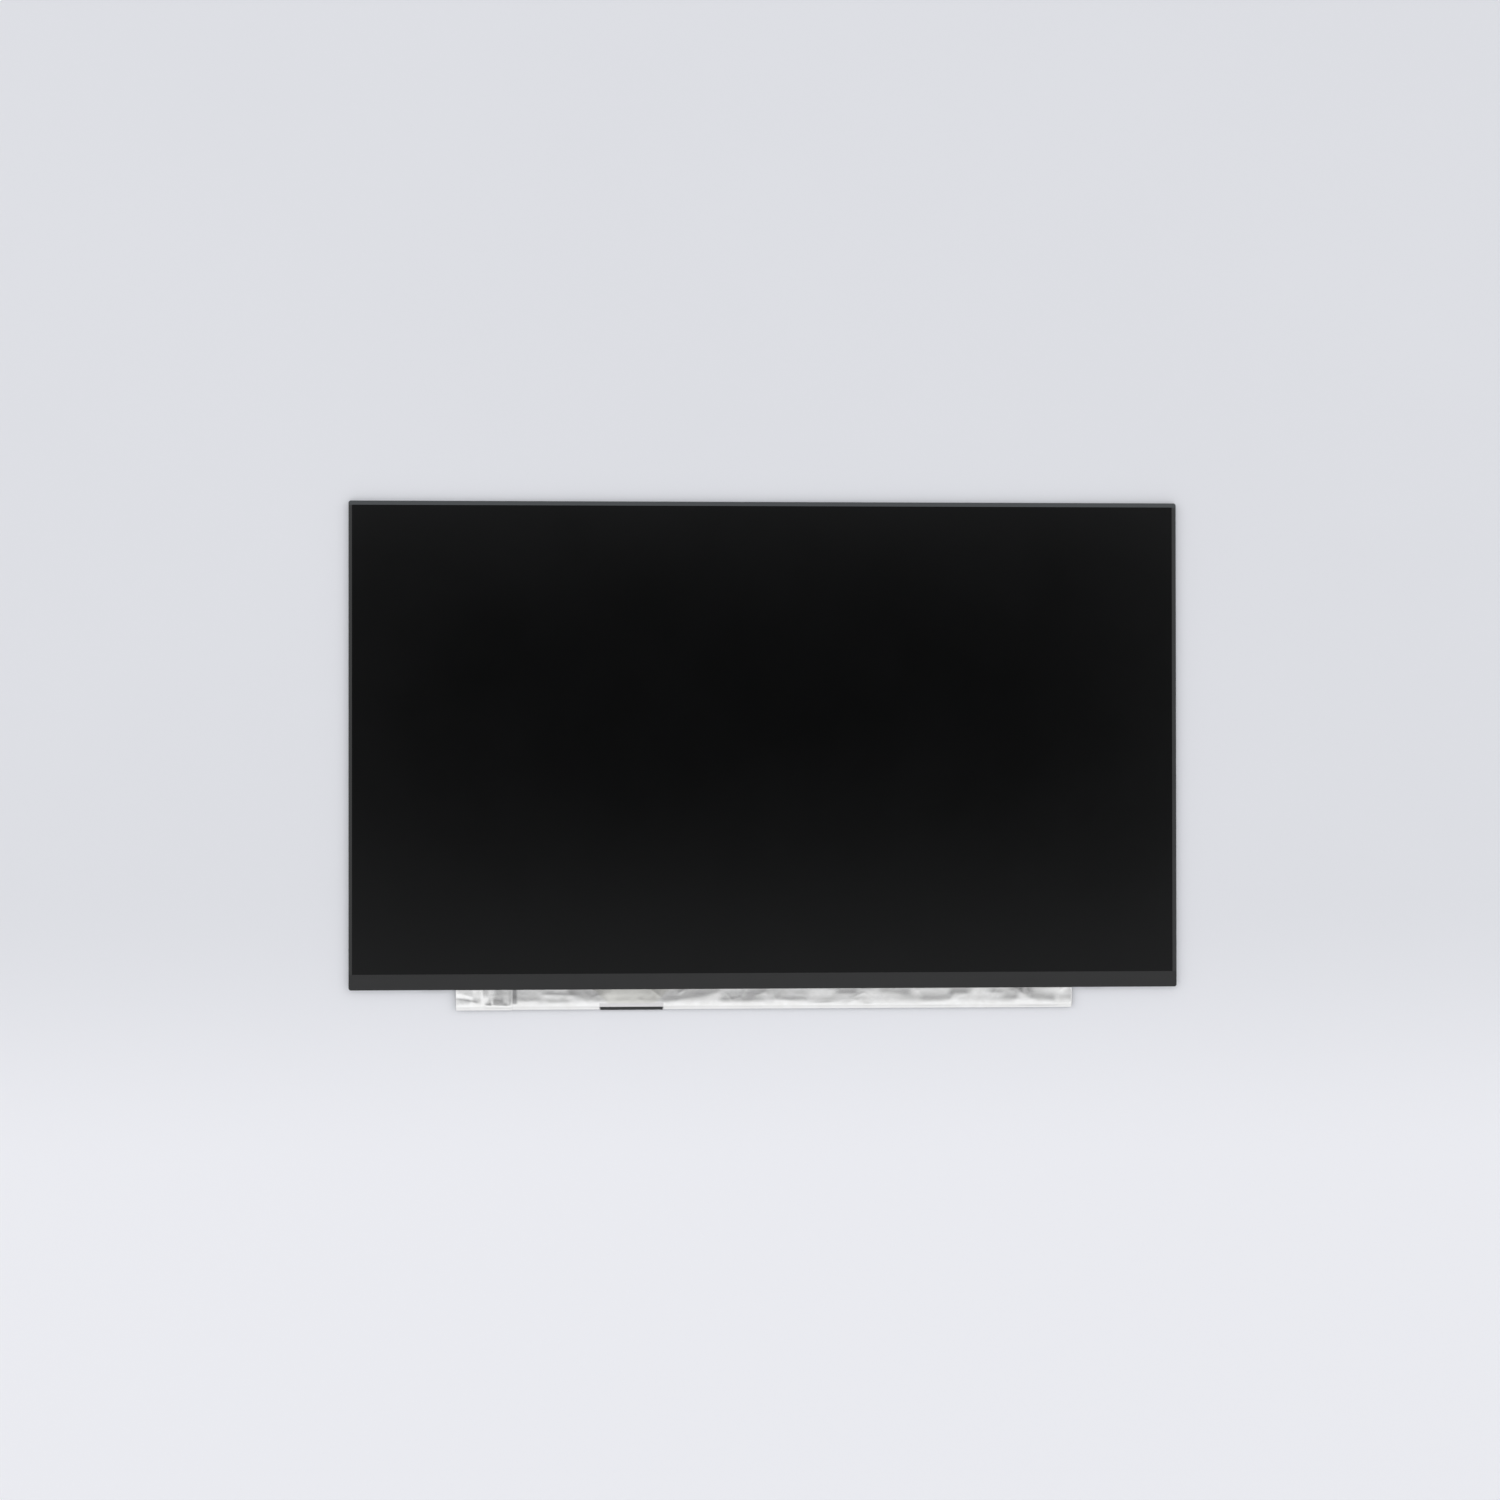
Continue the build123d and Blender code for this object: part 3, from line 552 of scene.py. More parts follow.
def foil_finish(name, rough):
    """Soft aluminium foil: bright, with small dents, fine rolling lines, two painted zones and a painted
    line.

    The warm zone is a painted reflection over the cable receptacle, where the foil is pressed flat, and the
    greyer one is painted shade on the strip at the receptacle's mouth. The dark line is a painted shadow
    along the end of the patch.
    """
    low, high = node_box("connector_housing")
    patch_end = node_box("foil_patch")[1][0]
    board_low = node_box("control_board")[0][1]
    material, tree, shader = start_material(name, Metallic=1.0)
    along, up, _ = object_axes(tree)
    across = calculate(tree, "SUBTRACT", along, (low[0] + high[0]) / 2)
    across = calculate(tree, "ABSOLUTE", across)
    down = calculate(tree, "SUBTRACT", node_box("board_foil")[1][1], up)
    # Mask of the painted reflection over the receptacle: a warm, darker tone where the foil is flat
    pressed = ease(tree, calculate(tree, "ADD", across, down), *PRESSED_REFLECTION_SLANT[::-1])
    # Painted shadow: a dark line on the foil just past the patch's end, where the patch steps down
    past = calculate(tree, "SUBTRACT", along, patch_end)
    line_end = ease(tree, past, *STEP_SHADOW_ENDS[::-1], 0.0, STEP_SHADOW_SHARE)
    step_shadow = calculate(tree, "MULTIPLY", ease(tree, past, *STEP_SHADOW_STARTS), line_end)
    above = calculate(tree, "SUBTRACT", up, board_low)
    step_shadow = calculate(tree, "MULTIPLY", step_shadow, ease(tree, above, *STEP_SHADOW_HEIGHT))
    # Painted shade: a greyer strip of foil at the receptacle's mouth, just above the notch
    mouth = ease(tree, across, *MOUTH_SHADE_REACH[::-1])
    mouth = calculate(tree, "MULTIPLY", mouth, ease(tree, above, *MOUTH_SHADE_HEIGHT[::-1]))
    rolling = place_group(tree, ROLLING, Scale=1.0 / 0.3, Contrast=1.4)
    mottle = place_group(
        tree,
        MOTTLE,
        Scale=1.0 / 5.0,
        Contrast=1.8,
        Dark=colour(0.86, 0.85, 0.83),
        Light=colour(0.91, 0.905, 0.895),
    )
    # Painted reflection: warm, darker tone over the receptacle
    tone = mix_colours(tree, pressed, mottle.outputs["Color"], colour(0.72, 0.71, 0.67))
    # Painted shade at the receptacle's mouth
    tone = mix_colours(tree, mouth, tone, colour(0.68, 0.665, 0.665))
    # Painted shadow of the patch's end
    tone = mix_colours(tree, step_shadow, tone, grey(0.25))
    tree.links.new(tone, shader.inputs["Base Color"])
    link_range(tree, mottle.outputs["Mask"], rough, shader.inputs["Roughness"])
    dents = add_node(tree, "ShaderNodeTexVoronoi", {"feature": "SMOOTH_F1"}, Scale=DENTS_PER_MM)
    tree.links.new(object_place(tree), dents.inputs["Vector"])
    streaks = calculate(tree, "MULTIPLY", rolling.outputs["Height"], STREAK_SHARE)
    link_bump(tree, calculate(tree, "ADD", dents.outputs["Distance"], streaks), DENT_DEPTH, shader)
    return material


def solder_tin():
    """Reflowed tin: bright and softly uneven."""
    return coated(
        "reflowed tin",
        colour(0.66, 0.66, 0.64),
        colour(0.78, 0.78, 0.76),
        patch=0.4,
        rough=(0.22, 0.40),
        grain=0.12,
        depth=0.006,
        Metallic=1.0,
    )


FOIL = foil_finish("silver foil", rough=(0.25, 0.19))
PATCH = foil_finish("patch foil", rough=(0.19, 0.15))
TIN = solder_tin()


# Finishes of the other solids, by kind


def optical_finishes():
    """Cell, polarizers and backlight, by node."""
    glass = coated(
        "cell glass",
        colour(0.70, 0.80, 0.77),
        colour(0.76, 0.85, 0.82),
        patch=30.0,
        rough=(0.02, 0.05),
        grain=0.5,
        depth=0.0002,
        Transmission_Weight=1.0,
        IOR=1.52,
    )
    acrylic = coated(
        "clear acrylic",
        colour(0.90, 0.93, 0.93),
        colour(0.95, 0.97, 0.97),
        patch=0.5,
        rough=(0.03, 0.25),
        grain=0.15,
        depth=0.004,
        Transmission_Weight=1.0,
        IOR=1.49,
    )
    rear_film = coated(
        "rear polarizer",
        colour(0.045, 0.05, 0.055),
        colour(0.06, 0.065, 0.07),
        patch=20.0,
        rough=(0.2, 0.3),
        grain=0.2,
        depth=0.001,
    )
    prism = ridged("prism film", colour(0.72, 0.74, 0.76), colour(0.80, 0.82, 0.84), 0.06)
    white = coated("white film", grey(0.80), grey(0.86), 12.0, (0.50, 0.62), 0.1, 0.002)
    lamp = coated("lamp moulding", grey(0.74), grey(0.82), 0.8, (0.4, 0.5), 0.1, 0.002)
    phosphor = coated(
        "phosphor gel",
        colour(0.78, 0.60, 0.10),
        colour(0.86, 0.70, 0.18),
        patch=0.5,
        rough=(0.35, 0.5),
        grain=0.05,
        depth=0.004,
    )
    return {
        "front_polarizer": screen_film(),
        "colour_filter_glass": glass,
        "array_glass": glass,
        "rear_polarizer": rear_film,
        "upper_prism_film": prism,
        "lower_prism_film": prism,
        "diffuser_film": white,
        "light_guide": acrylic,
        "reflector_sheet": white,
        "led_bodies": lamp,
        "led_phosphors": phosphor,
    }


def housing_finishes():
    """Tapes, frame and back plate, by node."""
    moulding = coated("black moulding", grey(0.020), grey(0.028), 3.0, (0.42, 0.55), 0.2, 0.004)
    foam = coated("rim adhesive", grey(0.016), grey(0.024), 2.0, (0.55, 0.70), 0.12, 0.006)
    plate = rolled(
        "rolled plate",
        colour(0.56, 0.57, 0.58),
        colour(0.68, 0.69, 0.70),
        rough=(0.30, 0.45),
        lines=0.25,
        depth=0.003,
    )
    return {
        "edge_tape": edge_tape(),
        "driver_tape": driver_tape(),
        "rim_tape": foam,
        "mould_frame": moulding,
        "back_plate": plate,
    }


def notch_darkening(tree):
    """Mask of where the board's front is darkened to near black, round the notch at the receptacle's mouth.
    """
    low, high = node_box("connector_shell")
    board_low, board_high = node_box("control_board")
    across, along, up = object_axes(tree)
    away = calculate(tree, "ABSOLUTE", calculate(tree, "SUBTRACT", across, (low[0] + high[0]) / 2))
    reach = (high[0] - low[0]) / 2 + DARKENED_MARGIN
    top = board_low[1] + DARKENED_HEIGHT
    darkening = ease(tree, away, reach, reach - DARKENED_EDGE)
    darkening = calculate(tree, "MULTIPLY", darkening, ease(tree, along, top + DARKENED_EDGE, top))
    return calculate(tree, "MULTIPLY", darkening, ease(tree, up, board_low[2], board_high[2]))


def board_finishes():
    """Driver films, control board and what is soldered to it, by node."""
    flex = printed(
        "amber flex",
        colour(0.30, 0.13, 0.03),
        colour(0.40, 0.19, 0.05),
        colour(0.55, 0.30, 0.12),
        pitch=0.5,
        bend=0.0,
        rough=(0.25, 0.40),
    )
    mask = printed(
        "solder mask",
        colour(0.012, 0.075, 0.032),
        colour(0.018, 0.10, 0.045),
        colour(0.035, 0.16, 0.06),
        pitch=0.9,
        bend=9.0,
        rough=(0.22, 0.34),
        darkening=notch_darkening,
    )
    silicon = coated(
        "bare silicon",
        colour(0.07, 0.075, 0.085),
        colour(0.10, 0.105, 0.115),
        patch=2.0,
        rough=(0.12, 0.2),
        grain=0.1,
        depth=0.0008,
    )
    epoxy = coated("black epoxy", grey(0.018), grey(0.028), 1.2, (0.50, 0.65), 0.08, 0.004)
    ferrite = coated("ferrite", grey(0.075), grey(0.11), 0.6, (0.60, 0.75), 0.08, 0.010)
    ceramic = coated(
        "tan ceramic",
        colour(0.34, 0.23, 0.13),
        colour(0.45, 0.32, 0.20),
        patch=0.5,
        rough=(0.35, 0.5),
        grain=0.06,
        depth=0.003,
    )
    glaze = coated("resistor glaze", grey(0.014), grey(0.022), 0.5, (0.20, 0.30), 0.06, 0.002)
    polymer = coated("receptacle moulding", grey(0.022), grey(0.034), 1.0, (0.38, 0.5), 0.1, 0.003)
    steel = rolled(
        "plated steel",
        colour(0.60, 0.59, 0.56),
        colour(0.70, 0.69, 0.66),
        rough=(0.22, 0.34),
        lines=0.12,
        depth=0.002,
    )
    gold = rolled(
        "gold flash",
        colour(0.78, 0.55, 0.22),
        colour(0.88, 0.66, 0.30),
        rough=(0.2, 0.3),
        lines=0.1,
        depth=0.001,
    )
    films = {name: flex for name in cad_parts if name.startswith("driver_film")}
    chips = ("timing_controller", "power_chip", "backlight_chip", "memory_chip", "diodes")
    return {
        **films,
        "light_bar": flex,
        **{name: epoxy for name in chips},
        "driver_chips": silicon,
        "control_board": mask,
        "inductors": ferrite,
        "capacitors": ceramic,
        "resistors": glaze,
        "chip_terminals": TIN,
        "connector_housing": polymer,
        "connector_shell": steel,
        "connector_contacts": gold,
        "board_foil": FOIL,
        "foil_patch": PATCH,
    }


def dress(piece, material):
    """Gives a piece its finish."""
    piece.data.materials.clear()
    piece.data.materials.append(material)


# New pieces, as surfaces on a grid


def make_piece(name, points, faces, material):
    """Smooth mesh piece from points in millimetres and faces; it rides on the panel's one body."""
    mesh = bpy.data.meshes.new(name)
    mesh.from_pydata(points * MM, [], faces)
    mesh.shade_smooth()
    piece = bpy.data.objects.new(name, mesh)
    bpy.context.scene.collection.objects.link(piece)
    dress(piece, material)
    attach(piece, "root")
    return piece


def rounded_path(corners, radii, step):
    """Points, outward normals and lengths along straight runs whose corners are arcs.

    An arc starts before its corner by the radius times the tangent of half the turn. A normal is the
    run's direction turned a quarter to the right, and it turns evenly along an arc.
    """
    corners = np.array(corners, float)
    points, normals = [], []
    start = corners[0]
    for index in range(1, len(corners)):
        run = corners[index] - corners[index - 1]
        run /= np.linalg.norm(run)
        ahead, turn, setback = run, 0.0, 0.0
        if index < len(corners) - 1:
            ahead = corners[index + 1] - corners[index]
            ahead /= np.linalg.norm(ahead)
            turn = np.arctan2(run[0] * ahead[1] - run[1] * ahead[0], run @ ahead)
            setback = radii[index - 1] * np.tan(abs(turn) / 2)
        normal = np.array([run[1], -run[0]])
        end = corners[index] - run * setback
        share = np.linspace(0, 1, int(np.linalg.norm(end - start) / step) + 1, endpoint=False)
        points.append(start + np.outer(share, end - start))
        normals.append(np.tile(normal, (len(share), 1)))
        if setback > 0:
            rows = max(BEND_ROWS, int(abs(turn) * radii[index - 1] / step) + 1)
            angle = np.linspace(0, turn, rows, endpoint=False)[:, None]
            arm = np.sign(turn) * radii[index - 1] * normal
            quarter = np.array([[0.0, 1.0], [-1.0, 0.0]])
            points.append(end - arm + arm * np.cos(angle) + arm @ quarter * np.sin(angle))
            normals.append(normal * np.cos(angle) + normal @ quarter * np.sin(angle))
        start = corners[index] + ahead * setback
    points = np.concatenate([*points, corners[-1:]])
    normals = np.concatenate([*normals, normals[-1][-1:]])
    steps = np.linalg.norm(np.diff(points, axis=0), axis=1)
    return points, normals, np.concatenate([[0.0], np.cumsum(steps)])


def smooth_step(value, start, end):
    """0 at start, 1 at end, with level ends."""
    share = np.clip((value - start) / (end - start), 0, 1)
    return share * share * (3 - 2 * share)


def fold_height(x, down, folds, fade):
    """Height of the folds over the flat sheet.

    Each fold is a rounded ridge along its line: its height times e to the power of 1 less the root of
    1 plus the square of the distance over the flank's width, faded over a length at both ends.
    """
    height = np.zeros(np.broadcast(x, down).shape)
    for points, above, below, rise in folds:
        line_x, line_down = np.array(points).T
        gap = down - np.interp(x, line_x, line_down)
        ridge = rise * np.exp(1 - np.hypot(1, gap / np.where(gap < 0, above, below)))
        starts = smooth_step(x, line_x[0] - fade, line_x[0] + fade)
        height += ridge * starts * smooth_step(x, line_x[-1] + fade, line_x[-1] - fade)
    return height


def small_crinkles(left, right, depth):
    """Short folds scattered over a sheet, the same in each run."""
    pick = np.random.default_rng(CRINKLE_SEED)
    count = int((right - left) / CRINKLE_SPACING)
    x = pick.uniform(left, right, count)
    down = pick.uniform(0, depth, count)
    turn = pick.uniform(-CRINKLE_TURN, CRINKLE_TURN, count)
    length = pick.uniform(*CRINKLE_LENGTHS, count)
    width = pick.uniform(*CRINKLE_WIDTHS, count)
    rise = pick.uniform(*CRINKLE_RISES, count)
    ends = zip(x + length * np.cos(turn), down + length * np.sin(turn))
    return list(zip(zip(zip(x, down), ends), width, width, rise))


def foil_section(node):
    """Outer face of a layer of foil across the strip, as Y and Z, with its outward normals and lengths.

    It runs level from the panel's edge to the board, falls a little to the shoulder, slopes to the
    board's lower edge, goes round it and a little way along the board's back. The notch's depth is
    one of its rows.
    """
    low, high = node_box(node)
    board_low, board_high = node_box("control_board")
    margin = board_low[2] - low[2]
    notch = board_low[1] + NOTCH_DEPTH + FOIL_NOTCH_MARGIN
    shoulder = np.array([board_low[1] + FOIL_SHOULDER, high[2] - FOIL_FALL])
    edge = np.array([low[1], board_high[2] + margin])
    on_slope = shoulder + (edge - shoulder) * (shoulder[0] - notch) / (shoulder[0] - edge[0])
    corners = (
        (high[1], high[2]),
        (board_high[1], high[2]),
        shoulder,
        on_slope,
        edge,
        (low[1], low[2]),
        (board_low[1] + FOIL_RETURN, low[2]),
    )
    bend = FOIL_BEND + margin
    radii = (FOIL_SHOULDER_RADIUS, FOIL_SHOULDER_RADIUS, 0.0, bend, bend)
    return rounded_path(corners, radii, FOIL_ROW)


def foil_columns(node, column):
    """X of the columns of a layer's grid, with the sides of the receptacle's notch, and those two sides."""
    low, high = node_box(node)
    shell_low, shell_high = node_box("connector_shell")
    notch = np.array([shell_low[0] - FOIL_SIDE_CLEARANCE, shell_high[0] + FOIL_SIDE_CLEARANCE])
    stops = np.array([low[0], *notch[(notch > low[0]) & (notch < high[0])], high[0]])
    runs = zip(stops, stops[1:])
    parts = [np.linspace(a, b, int((b - a) / column) + 1, endpoint=False) for a, b in runs]
    return np.concatenate([*parts, high[:1]])[None, :], notch


def foil_rise(x, down, folds, fade, receptacle):
    """Height of a layer of foil over its section.

    It is the folds and the small crinkles, plus the bulge, plus long waves. The bulge is two smooth steps
    of the distance below the panel's edge, and is lower over the receptacle and on the patch. The waves
    are sines along X that slant with that distance.
    """
    height = fold_height(x, down, folds, fade)
    crinkles = small_crinkles(x[0, 0], x[0, -1], down[-1, 0])
    height += fold_height(x, down, crinkles, CRINKLE_FADE)
    pressed = smooth_step(np.abs(x - receptacle), *PRESSED_REACH[::-1])
    bulge = FOIL_BULGE * (1 - (1 - PRESSED_BULGE) * pressed)
    bulge *= PATCH_BULGE + (1 - PATCH_BULGE) * smooth_step(x, *PATCH_BULGE_GROWS)
    start, crest, end = BULGE_PLACES
    height += bulge * smooth_step(down, start, crest) * smooth_step(down, end, crest)
    for number, wave in enumerate(FOIL_WAVE_LENGTHS):
        phase = 2 * np.pi * x / wave + number + down / FOIL_WAVE_SLANT
        height += FOIL_WAVE_HEIGHT / (number + 1) * (1 + np.sin(phase))
    return height


def make_foil(name, node, folds, fade, column, lifted_from, material):
    """Layer of crinkled foil: its section carried along X and raised along its normals.

    The rise fades to nothing short of the bend round the board's edge and left of lifted_from, and a
    hyperbolic tangent keeps it under its limit. The faces over the receptacle's mouth are left out.
    """
    board_low, board_high = node_box("control_board")
    x, notch = foil_columns(node, column)
    section, normals, lengths = foil_section(node)
    down = lengths[:, None]
    bend = lengths[np.argmax(section[:, 1] < board_high[2])]
    height = foil_rise(x, down, folds, fade, notch.mean())
    height *= smooth_step(down, bend - BEND_FADE[0], bend - BEND_FADE[1])
    height *= smooth_step(x, lifted_from, lifted_from + LIFT_LENGTH)
    height = FOIL_RISE_LIMIT * np.tanh(height / FOIL_RISE_LIMIT)
    points = np.empty((*height.shape, 3))
    points[..., 0] = x
    points[..., 1:] = section[:, None, :] + normals[:, None, :] * height[..., None]
    index = np.arange(height.size).reshape(height.shape)
    quads = np.stack([index[:-1, :-1], index[1:, :-1], index[1:, 1:], index[:-1, 1:]], axis=-1)
    notch_row = board_low[1] + NOTCH_DEPTH + FOIL_NOTCH_MARGIN
    first_row = np.argmin(section[:, 0] > notch_row + ROW_TOLERANCE)
    past_row = np.arange(len(section) - 1)[:, None] >= first_row
    middle_x = (x[:, 1:] + x[:, :-1]) / 2
    cut = past_row & (middle_x > notch[0]) & (middle_x < notch[1])
    piece = make_piece(name, points.reshape(-1, 3), quads[~cut].tolist(), material)
    wall = piece.modifiers.new("thickness", "SOLIDIFY")
    wall.thickness = FOIL_THICKNESS * MM
    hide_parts(node)


def solid_boxes(node):
    """Lowest and highest corners of each separate solid in a node, in millimetres.

    Corners that share a place share a label. A triangle's corners take the lowest label of the three,
    again and again until nothing changes, so each solid ends up with one label.
    """
    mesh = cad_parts[node].data
    places = np.empty(3 * len(mesh.vertices))
    mesh.vertices.foreach_get("co", places)
    places = places.reshape(-1, 3) / MM
    corners = np.empty(3 * len(mesh.polygons), int)
    mesh.polygons.foreach_get("vertices", corners)
    shared = np.unique(places.round(PLACE_DECIMALS), axis=0, return_inverse=True)[1].ravel()
    triangles = shared[corners].reshape(-1, 3)
    labels = np.arange(shared.max() + 1)
    while True:
        lowest = labels.copy()
        np.minimum.at(lowest, triangles, labels[triangles].min(axis=1, keepdims=True))
        if (lowest == labels).all():
            break
        labels = lowest
    solids = np.unique(labels[shared], return_inverse=True)[1].ravel()
    low = np.full((solids.max() + 1, 3), np.inf)
    high = -low
    np.minimum.at(low, solids, places)
    np.maximum.at(high, solids, places)
    return low, high


def make_beads(name, centres, sizes):
    """Beads of solder, each half of a rounded box sunk in the board's back.

    A bead is an ellipsoid swollen towards its box: the cosine and sine of the angle round it, and of
    the angle from its tip, are each raised to a power under 1 before they multiply its half sizes.
    """
    around = np.linspace(0, 2 * np.pi, BEAD_AROUND, endpoint=False)
    fall = np.linspace(0, np.pi, BEAD_RINGS)[1:-1, None]

    def swell(value):
        return np.sign(value) * np.abs(value) ** BEAD_POWER

    ring = np.stack(
        [
            swell(np.sin(fall)) * swell(np.cos(around)),
            swell(np.sin(fall)) * swell(np.sin(around)),
            -swell(np.cos(fall)) * np.ones_like(around),
        ],
        axis=-1,
    ).reshape(-1, 3)
    bead = np.concatenate([ring, [[0.0, 0.0, -1.0], [0.0, 0.0, 1.0]]])
    rings, tip = BEAD_RINGS - 2, len(bead) - 2
    index = np.arange(rings * BEAD_AROUND).reshape(rings, BEAD_AROUND)
    after = np.roll(index, -1, axis=1)
    quads = np.stack([index[:-1], after[:-1], after[1:], index[1:]], axis=-1).reshape(-1, 4)
    ends = [
        np.stack([np.full(BEAD_AROUND, tip), after[0], index[0]], axis=-1),
        np.stack([np.full(BEAD_AROUND, tip + 1), index[-1], after[-1]], axis=-1),
    ]
    first = (np.arange(len(centres)) * len(bead))[:, None, None]
    points = centres[:, None, :] + sizes[:, None, :] * bead
    faces = [(first + quads).reshape(-1, 4), *[(first + end).reshape(-1, 3) for end in ends]]
    flat = [face for group in faces for face in group.tolist()]
    make_piece(name, points.reshape(-1, 3), flat, TIN)


def terminal_beads(board):
    """Solder at the plated ends of the capacitors and resistors, on the side away from the body."""
    low, high = solid_boxes("chip_terminals")
    bodies = [np.concatenate(pair) for pair in zip(solid_boxes("capacitors"), solid_boxes("resistors"))]
    middle, body_middle = (low + high) / 2, (bodies[0] + bodies[1]) / 2
    gaps = np.linalg.norm(middle[:, None, :2] - body_middle[None, :, :2], axis=-1)
    outward = np.sign(middle[:, 0] - body_middle[gaps.argmin(axis=1), 0])
    centres = np.stack([middle[:, 0] + outward * (high - low)[:, 0] / 2, middle[:, 1]], axis=-1)
    sizes = np.stack(
        [
            np.full(len(low), BEAD_REACH),
            (high - low)[:, 1] / 2,
            (high - low)[:, 2] * BEAD_CLIMB,
        ],
        axis=-1,
    )
    return np.column_stack([centres, np.full(len(low), board)]), sizes


def tail_beads(board):
    """Solder at the tails of the receptacle's contacts, behind its housing."""
    low, high = solid_boxes("connector_contacts")
    centres = np.column_stack([(low[:, 0] + high[:, 0]) / 2, high[:, 1], np.full(len(low), board)])
    sizes = np.tile([(high - low)[0, 0] * TAIL_BEAD_SHARE, BEAD_REACH, TAIL_BEAD_HEIGHT], (len(low), 1))
    return centres, sizes


def pad_beads(chip, board):
    """Soldered pads along the four sides of a chip, at an even pitch."""
    low, high = node_box(chip)
    centres = []
    for axis in (0, 1):
        room = high[axis] - low[axis] - 2 * PAD_MARGIN
        count = int(room / PAD_PITCH) + 1
        along = (low[axis] + high[axis]) / 2 + PAD_PITCH * (np.arange(count) - (count - 1) / 2)
        for side in (low[1 - axis], high[1 - axis]):
            pair = [along, np.full(count, side)]
            centres.append(np.column_stack([pair[axis], pair[1 - axis], np.full(count, board)]))
    lengths = [len(c) for c in centres]
    level = [PAD_WIDTH / 2, BEAD_REACH, PAD_HEIGHT]
    upright = [BEAD_REACH, PAD_WIDTH / 2, PAD_HEIGHT]
    sizes = np.repeat([level, level, upright, upright], lengths, axis=0)
    return np.concatenate(centres), sizes


def make_solder():
    """All the solder on the back of the board, as three pieces."""
    board = node_box("control_board")[0][2]
    make_beads("terminal_solder", *terminal_beads(board))
    make_beads("contact_solder", *tail_beads(board))
    chips = ("timing_controller", "power_chip", "backlight_chip", "memory_chip")
    pads = [pad_beads(chip, board) for chip in chips]
    make_beads("chip_solder", *[np.concatenate(both) for both in zip(*pads)])


# Stage


def make_floor():
    """Wide pale floor under the panel, with painted light that makes it a little lighter towards the front.
    """
    reach = FLOOR_REACH_M
    mesh = bpy.data.meshes.new("floor")
    corners = [(-reach, -reach, 0), (reach, -reach, 0), (reach, reach, 0), (-reach, reach, 0)]
    mesh.from_pydata(corners, [], [(0, 1, 2, 3)])
    floor = bpy.data.objects.new("floor", mesh)
    bpy.context.scene.collection.objects.link(floor)
    material, tree, shader = start_material("pale floor", Roughness=0.8)
    mottle = place_group(
        tree,
        MOTTLE,
        Scale=1.0 / 250.0,
        Contrast=1.0,
        Dark=colour(0.765, 0.77, 0.80),
        Light=colour(0.80, 0.805, 0.835),
    )
    # Painted light: the floor is lighter towards the front, like a lit floor before a shaded backdrop
    near = ease(tree, object_axes(tree)[1], *FLOOR_PAINTED_LIGHT)
    tone = mix_colours(tree, near, mottle.outputs["Color"], colour(0.905, 0.905, 0.935))
    tree.links.new(tone, shader.inputs["Base Color"])
    mesh.materials.append(material)


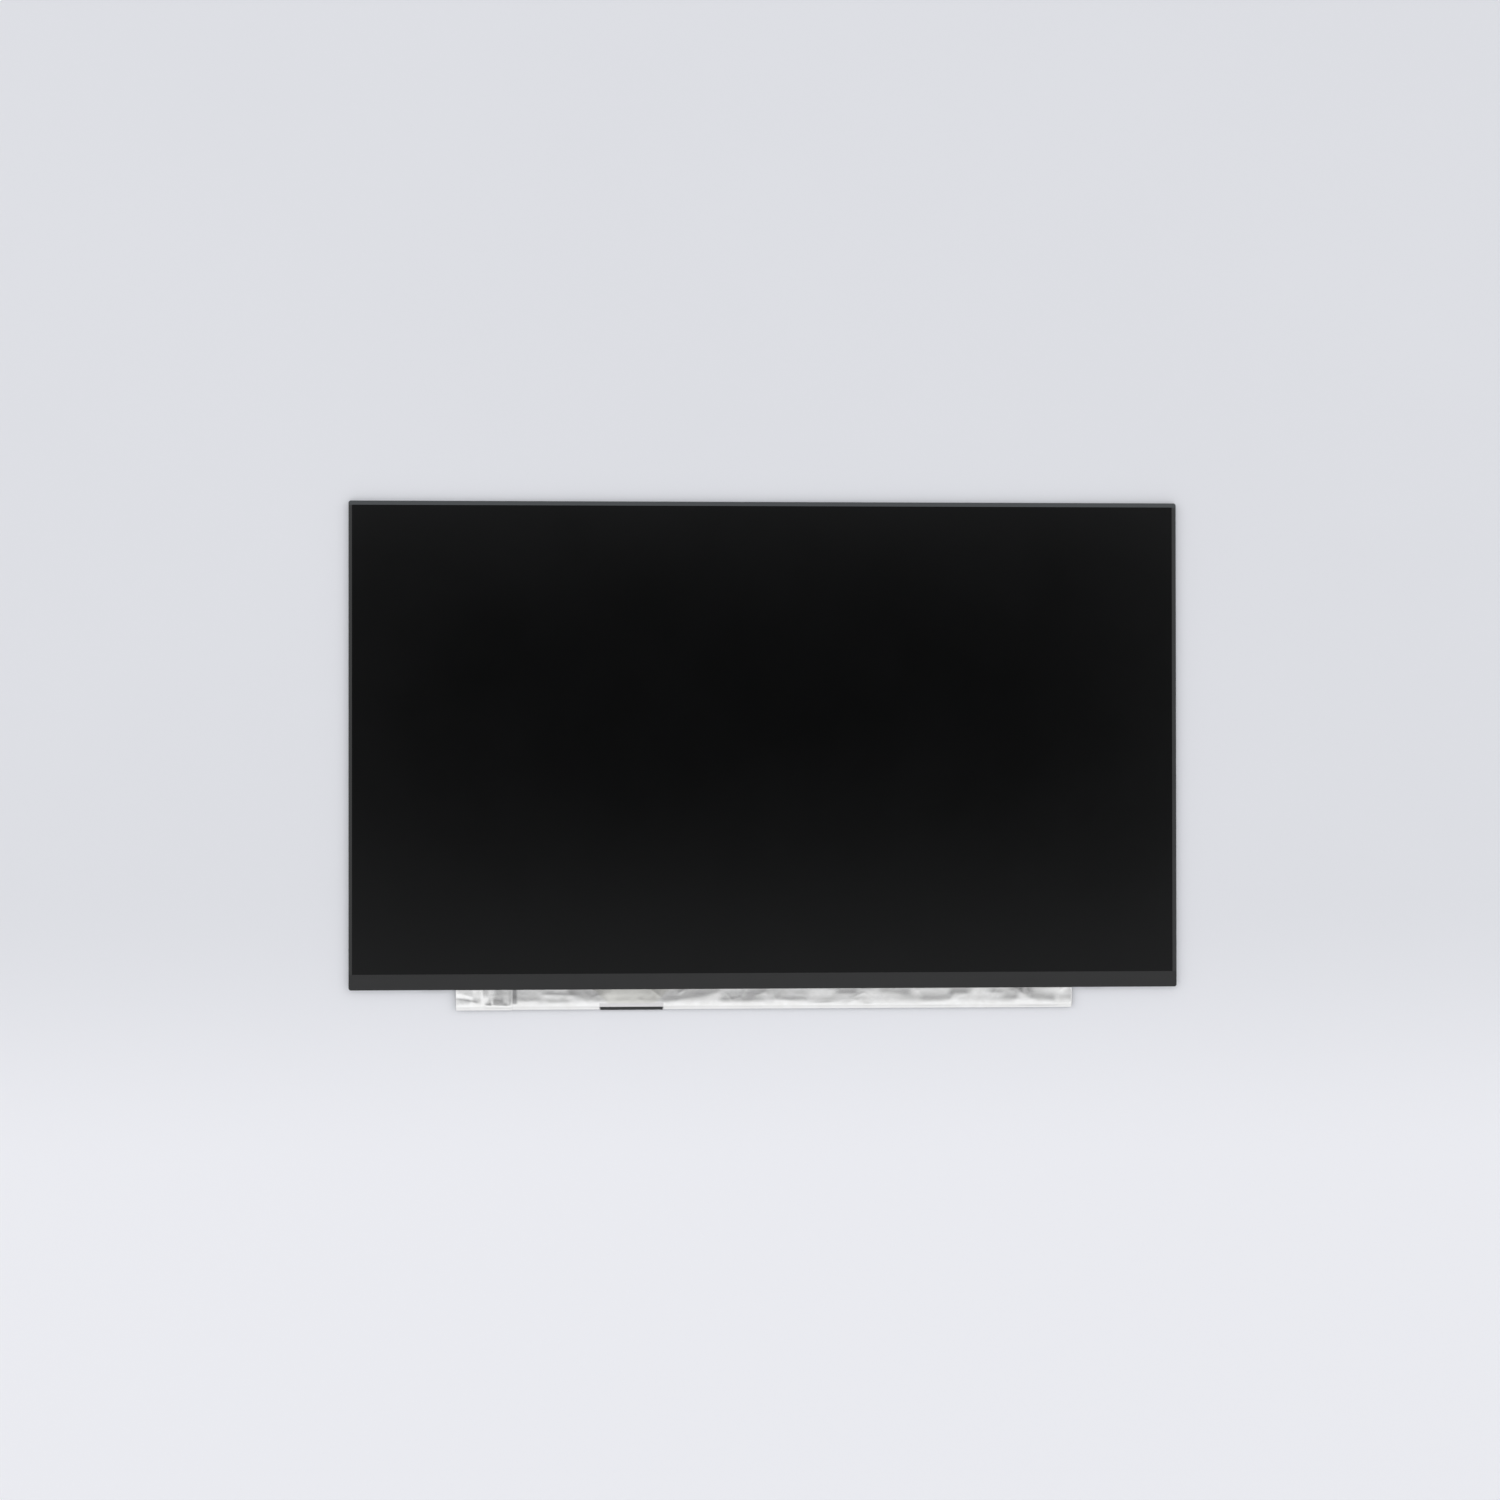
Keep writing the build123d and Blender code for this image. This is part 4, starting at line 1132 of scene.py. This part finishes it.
def make_dome():
    """Studio dome: pale, brighter higher up and in a ring overhead, with a dim opening in the ring.

    A direction's slopes are its X and its Y over its Z. The opening is the product of four ramps of
    those slopes, one for each edge.
    """
    world = bpy.data.worlds.new("studio dome")
    world.use_nodes = True
    tree = world.node_tree
    place = add_node(tree, "ShaderNodeTexCoord")
    split = add_node(tree, "ShaderNodeSeparateXYZ")
    tree.links.new(place.outputs["Generated"], split.inputs[0])
    rise = calculate(tree, "MAXIMUM", split.outputs["Z"], OPENING_HORIZON)
    opening = calculate(tree, "GREATER_THAN", split.outputs["Z"], OPENING_HORIZON)
    edges = (
        ("X", OPENING_LEFT),
        ("X", OPENING_RIGHT),
        ("Y", OPENING_TOP),
        ("Y", OPENING_BOTTOM),
    )
    for axis, (inner, outer) in edges:
        slope = calculate(tree, "DIVIDE", split.outputs[axis], rise)
        opening = calculate(tree, "MULTIPLY", opening, ramp(tree, slope, outer, inner))
    background = tree.nodes["Background"]
    background.inputs["Color"].default_value = colour(*DOME_COLOUR)
    dome = HORIZON_LEVEL
    for reach, gain in ((DOME_RISE, DOME_LEVEL - HORIZON_LEVEL), (RING_RISE, RING_LEVEL - DOME_LEVEL)):
        dome = calculate(tree, "MULTIPLY_ADD", ramp(tree, split.outputs["Z"], *reach), gain, dome)
    shut = calculate(tree, "SUBTRACT", 1.0, opening)
    tree.links.new(calculate(tree, "MULTIPLY", dome, shut), background.inputs["Strength"])
    bpy.context.scene.world = world


def softbox(name, place, size, power):
    """Rectangular lamp aimed at the middle of the panel."""
    lamp = bpy.data.lights.new(name, "AREA")
    lamp.shape = "RECTANGLE"
    lamp.size, lamp.size_y = size
    lamp.energy = power
    piece = bpy.data.objects.new(name, lamp)
    piece.location = place
    piece.rotation_euler = (-Vector(place)).to_track_quat("-Z", "Y").to_euler()
    bpy.context.scene.collection.objects.link(piece)


def make_camera():
    """Camera over the panel, a little to its left."""
    lens = bpy.data.cameras.new("camera")
    lens.lens = CAMERA_LENS
    lens.sensor_width = CAMERA_FILM
    camera = bpy.data.objects.new("camera", lens)
    camera.location = [c * MM for c in CAMERA_PLACE]
    camera.rotation_euler = np.radians(CAMERA_TURN)
    bpy.context.scene.collection.objects.link(camera)
    bpy.context.scene.camera = camera


for node, finish in {**optical_finishes(), **housing_finishes(), **board_finishes()}.items():
    dress(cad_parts[node], finish)
patch_low, patch_high = node_box("foil_patch")
foil_lift = patch_high[0] - FOIL_LIFT_BEFORE
patch_lift = patch_low[0] - PATCH_LIFT_BEFORE
make_foil("crinkled_foil", "board_foil", FOIL_FOLDS, FOIL_FADE, FOIL_COLUMN, foil_lift, FOIL)
make_foil("crinkled_patch", "foil_patch", PATCH_FOLDS, PATCH_FADE, PATCH_COLUMN, patch_lift, PATCH)
make_solder()

make_floor()
make_dome()
for name, (place, power) in SOFTBOXES.items():
    softbox(name, place, SOFTBOX_SIZE_M, power)
make_camera()
bpy.context.scene.view_settings.view_transform = "Standard"
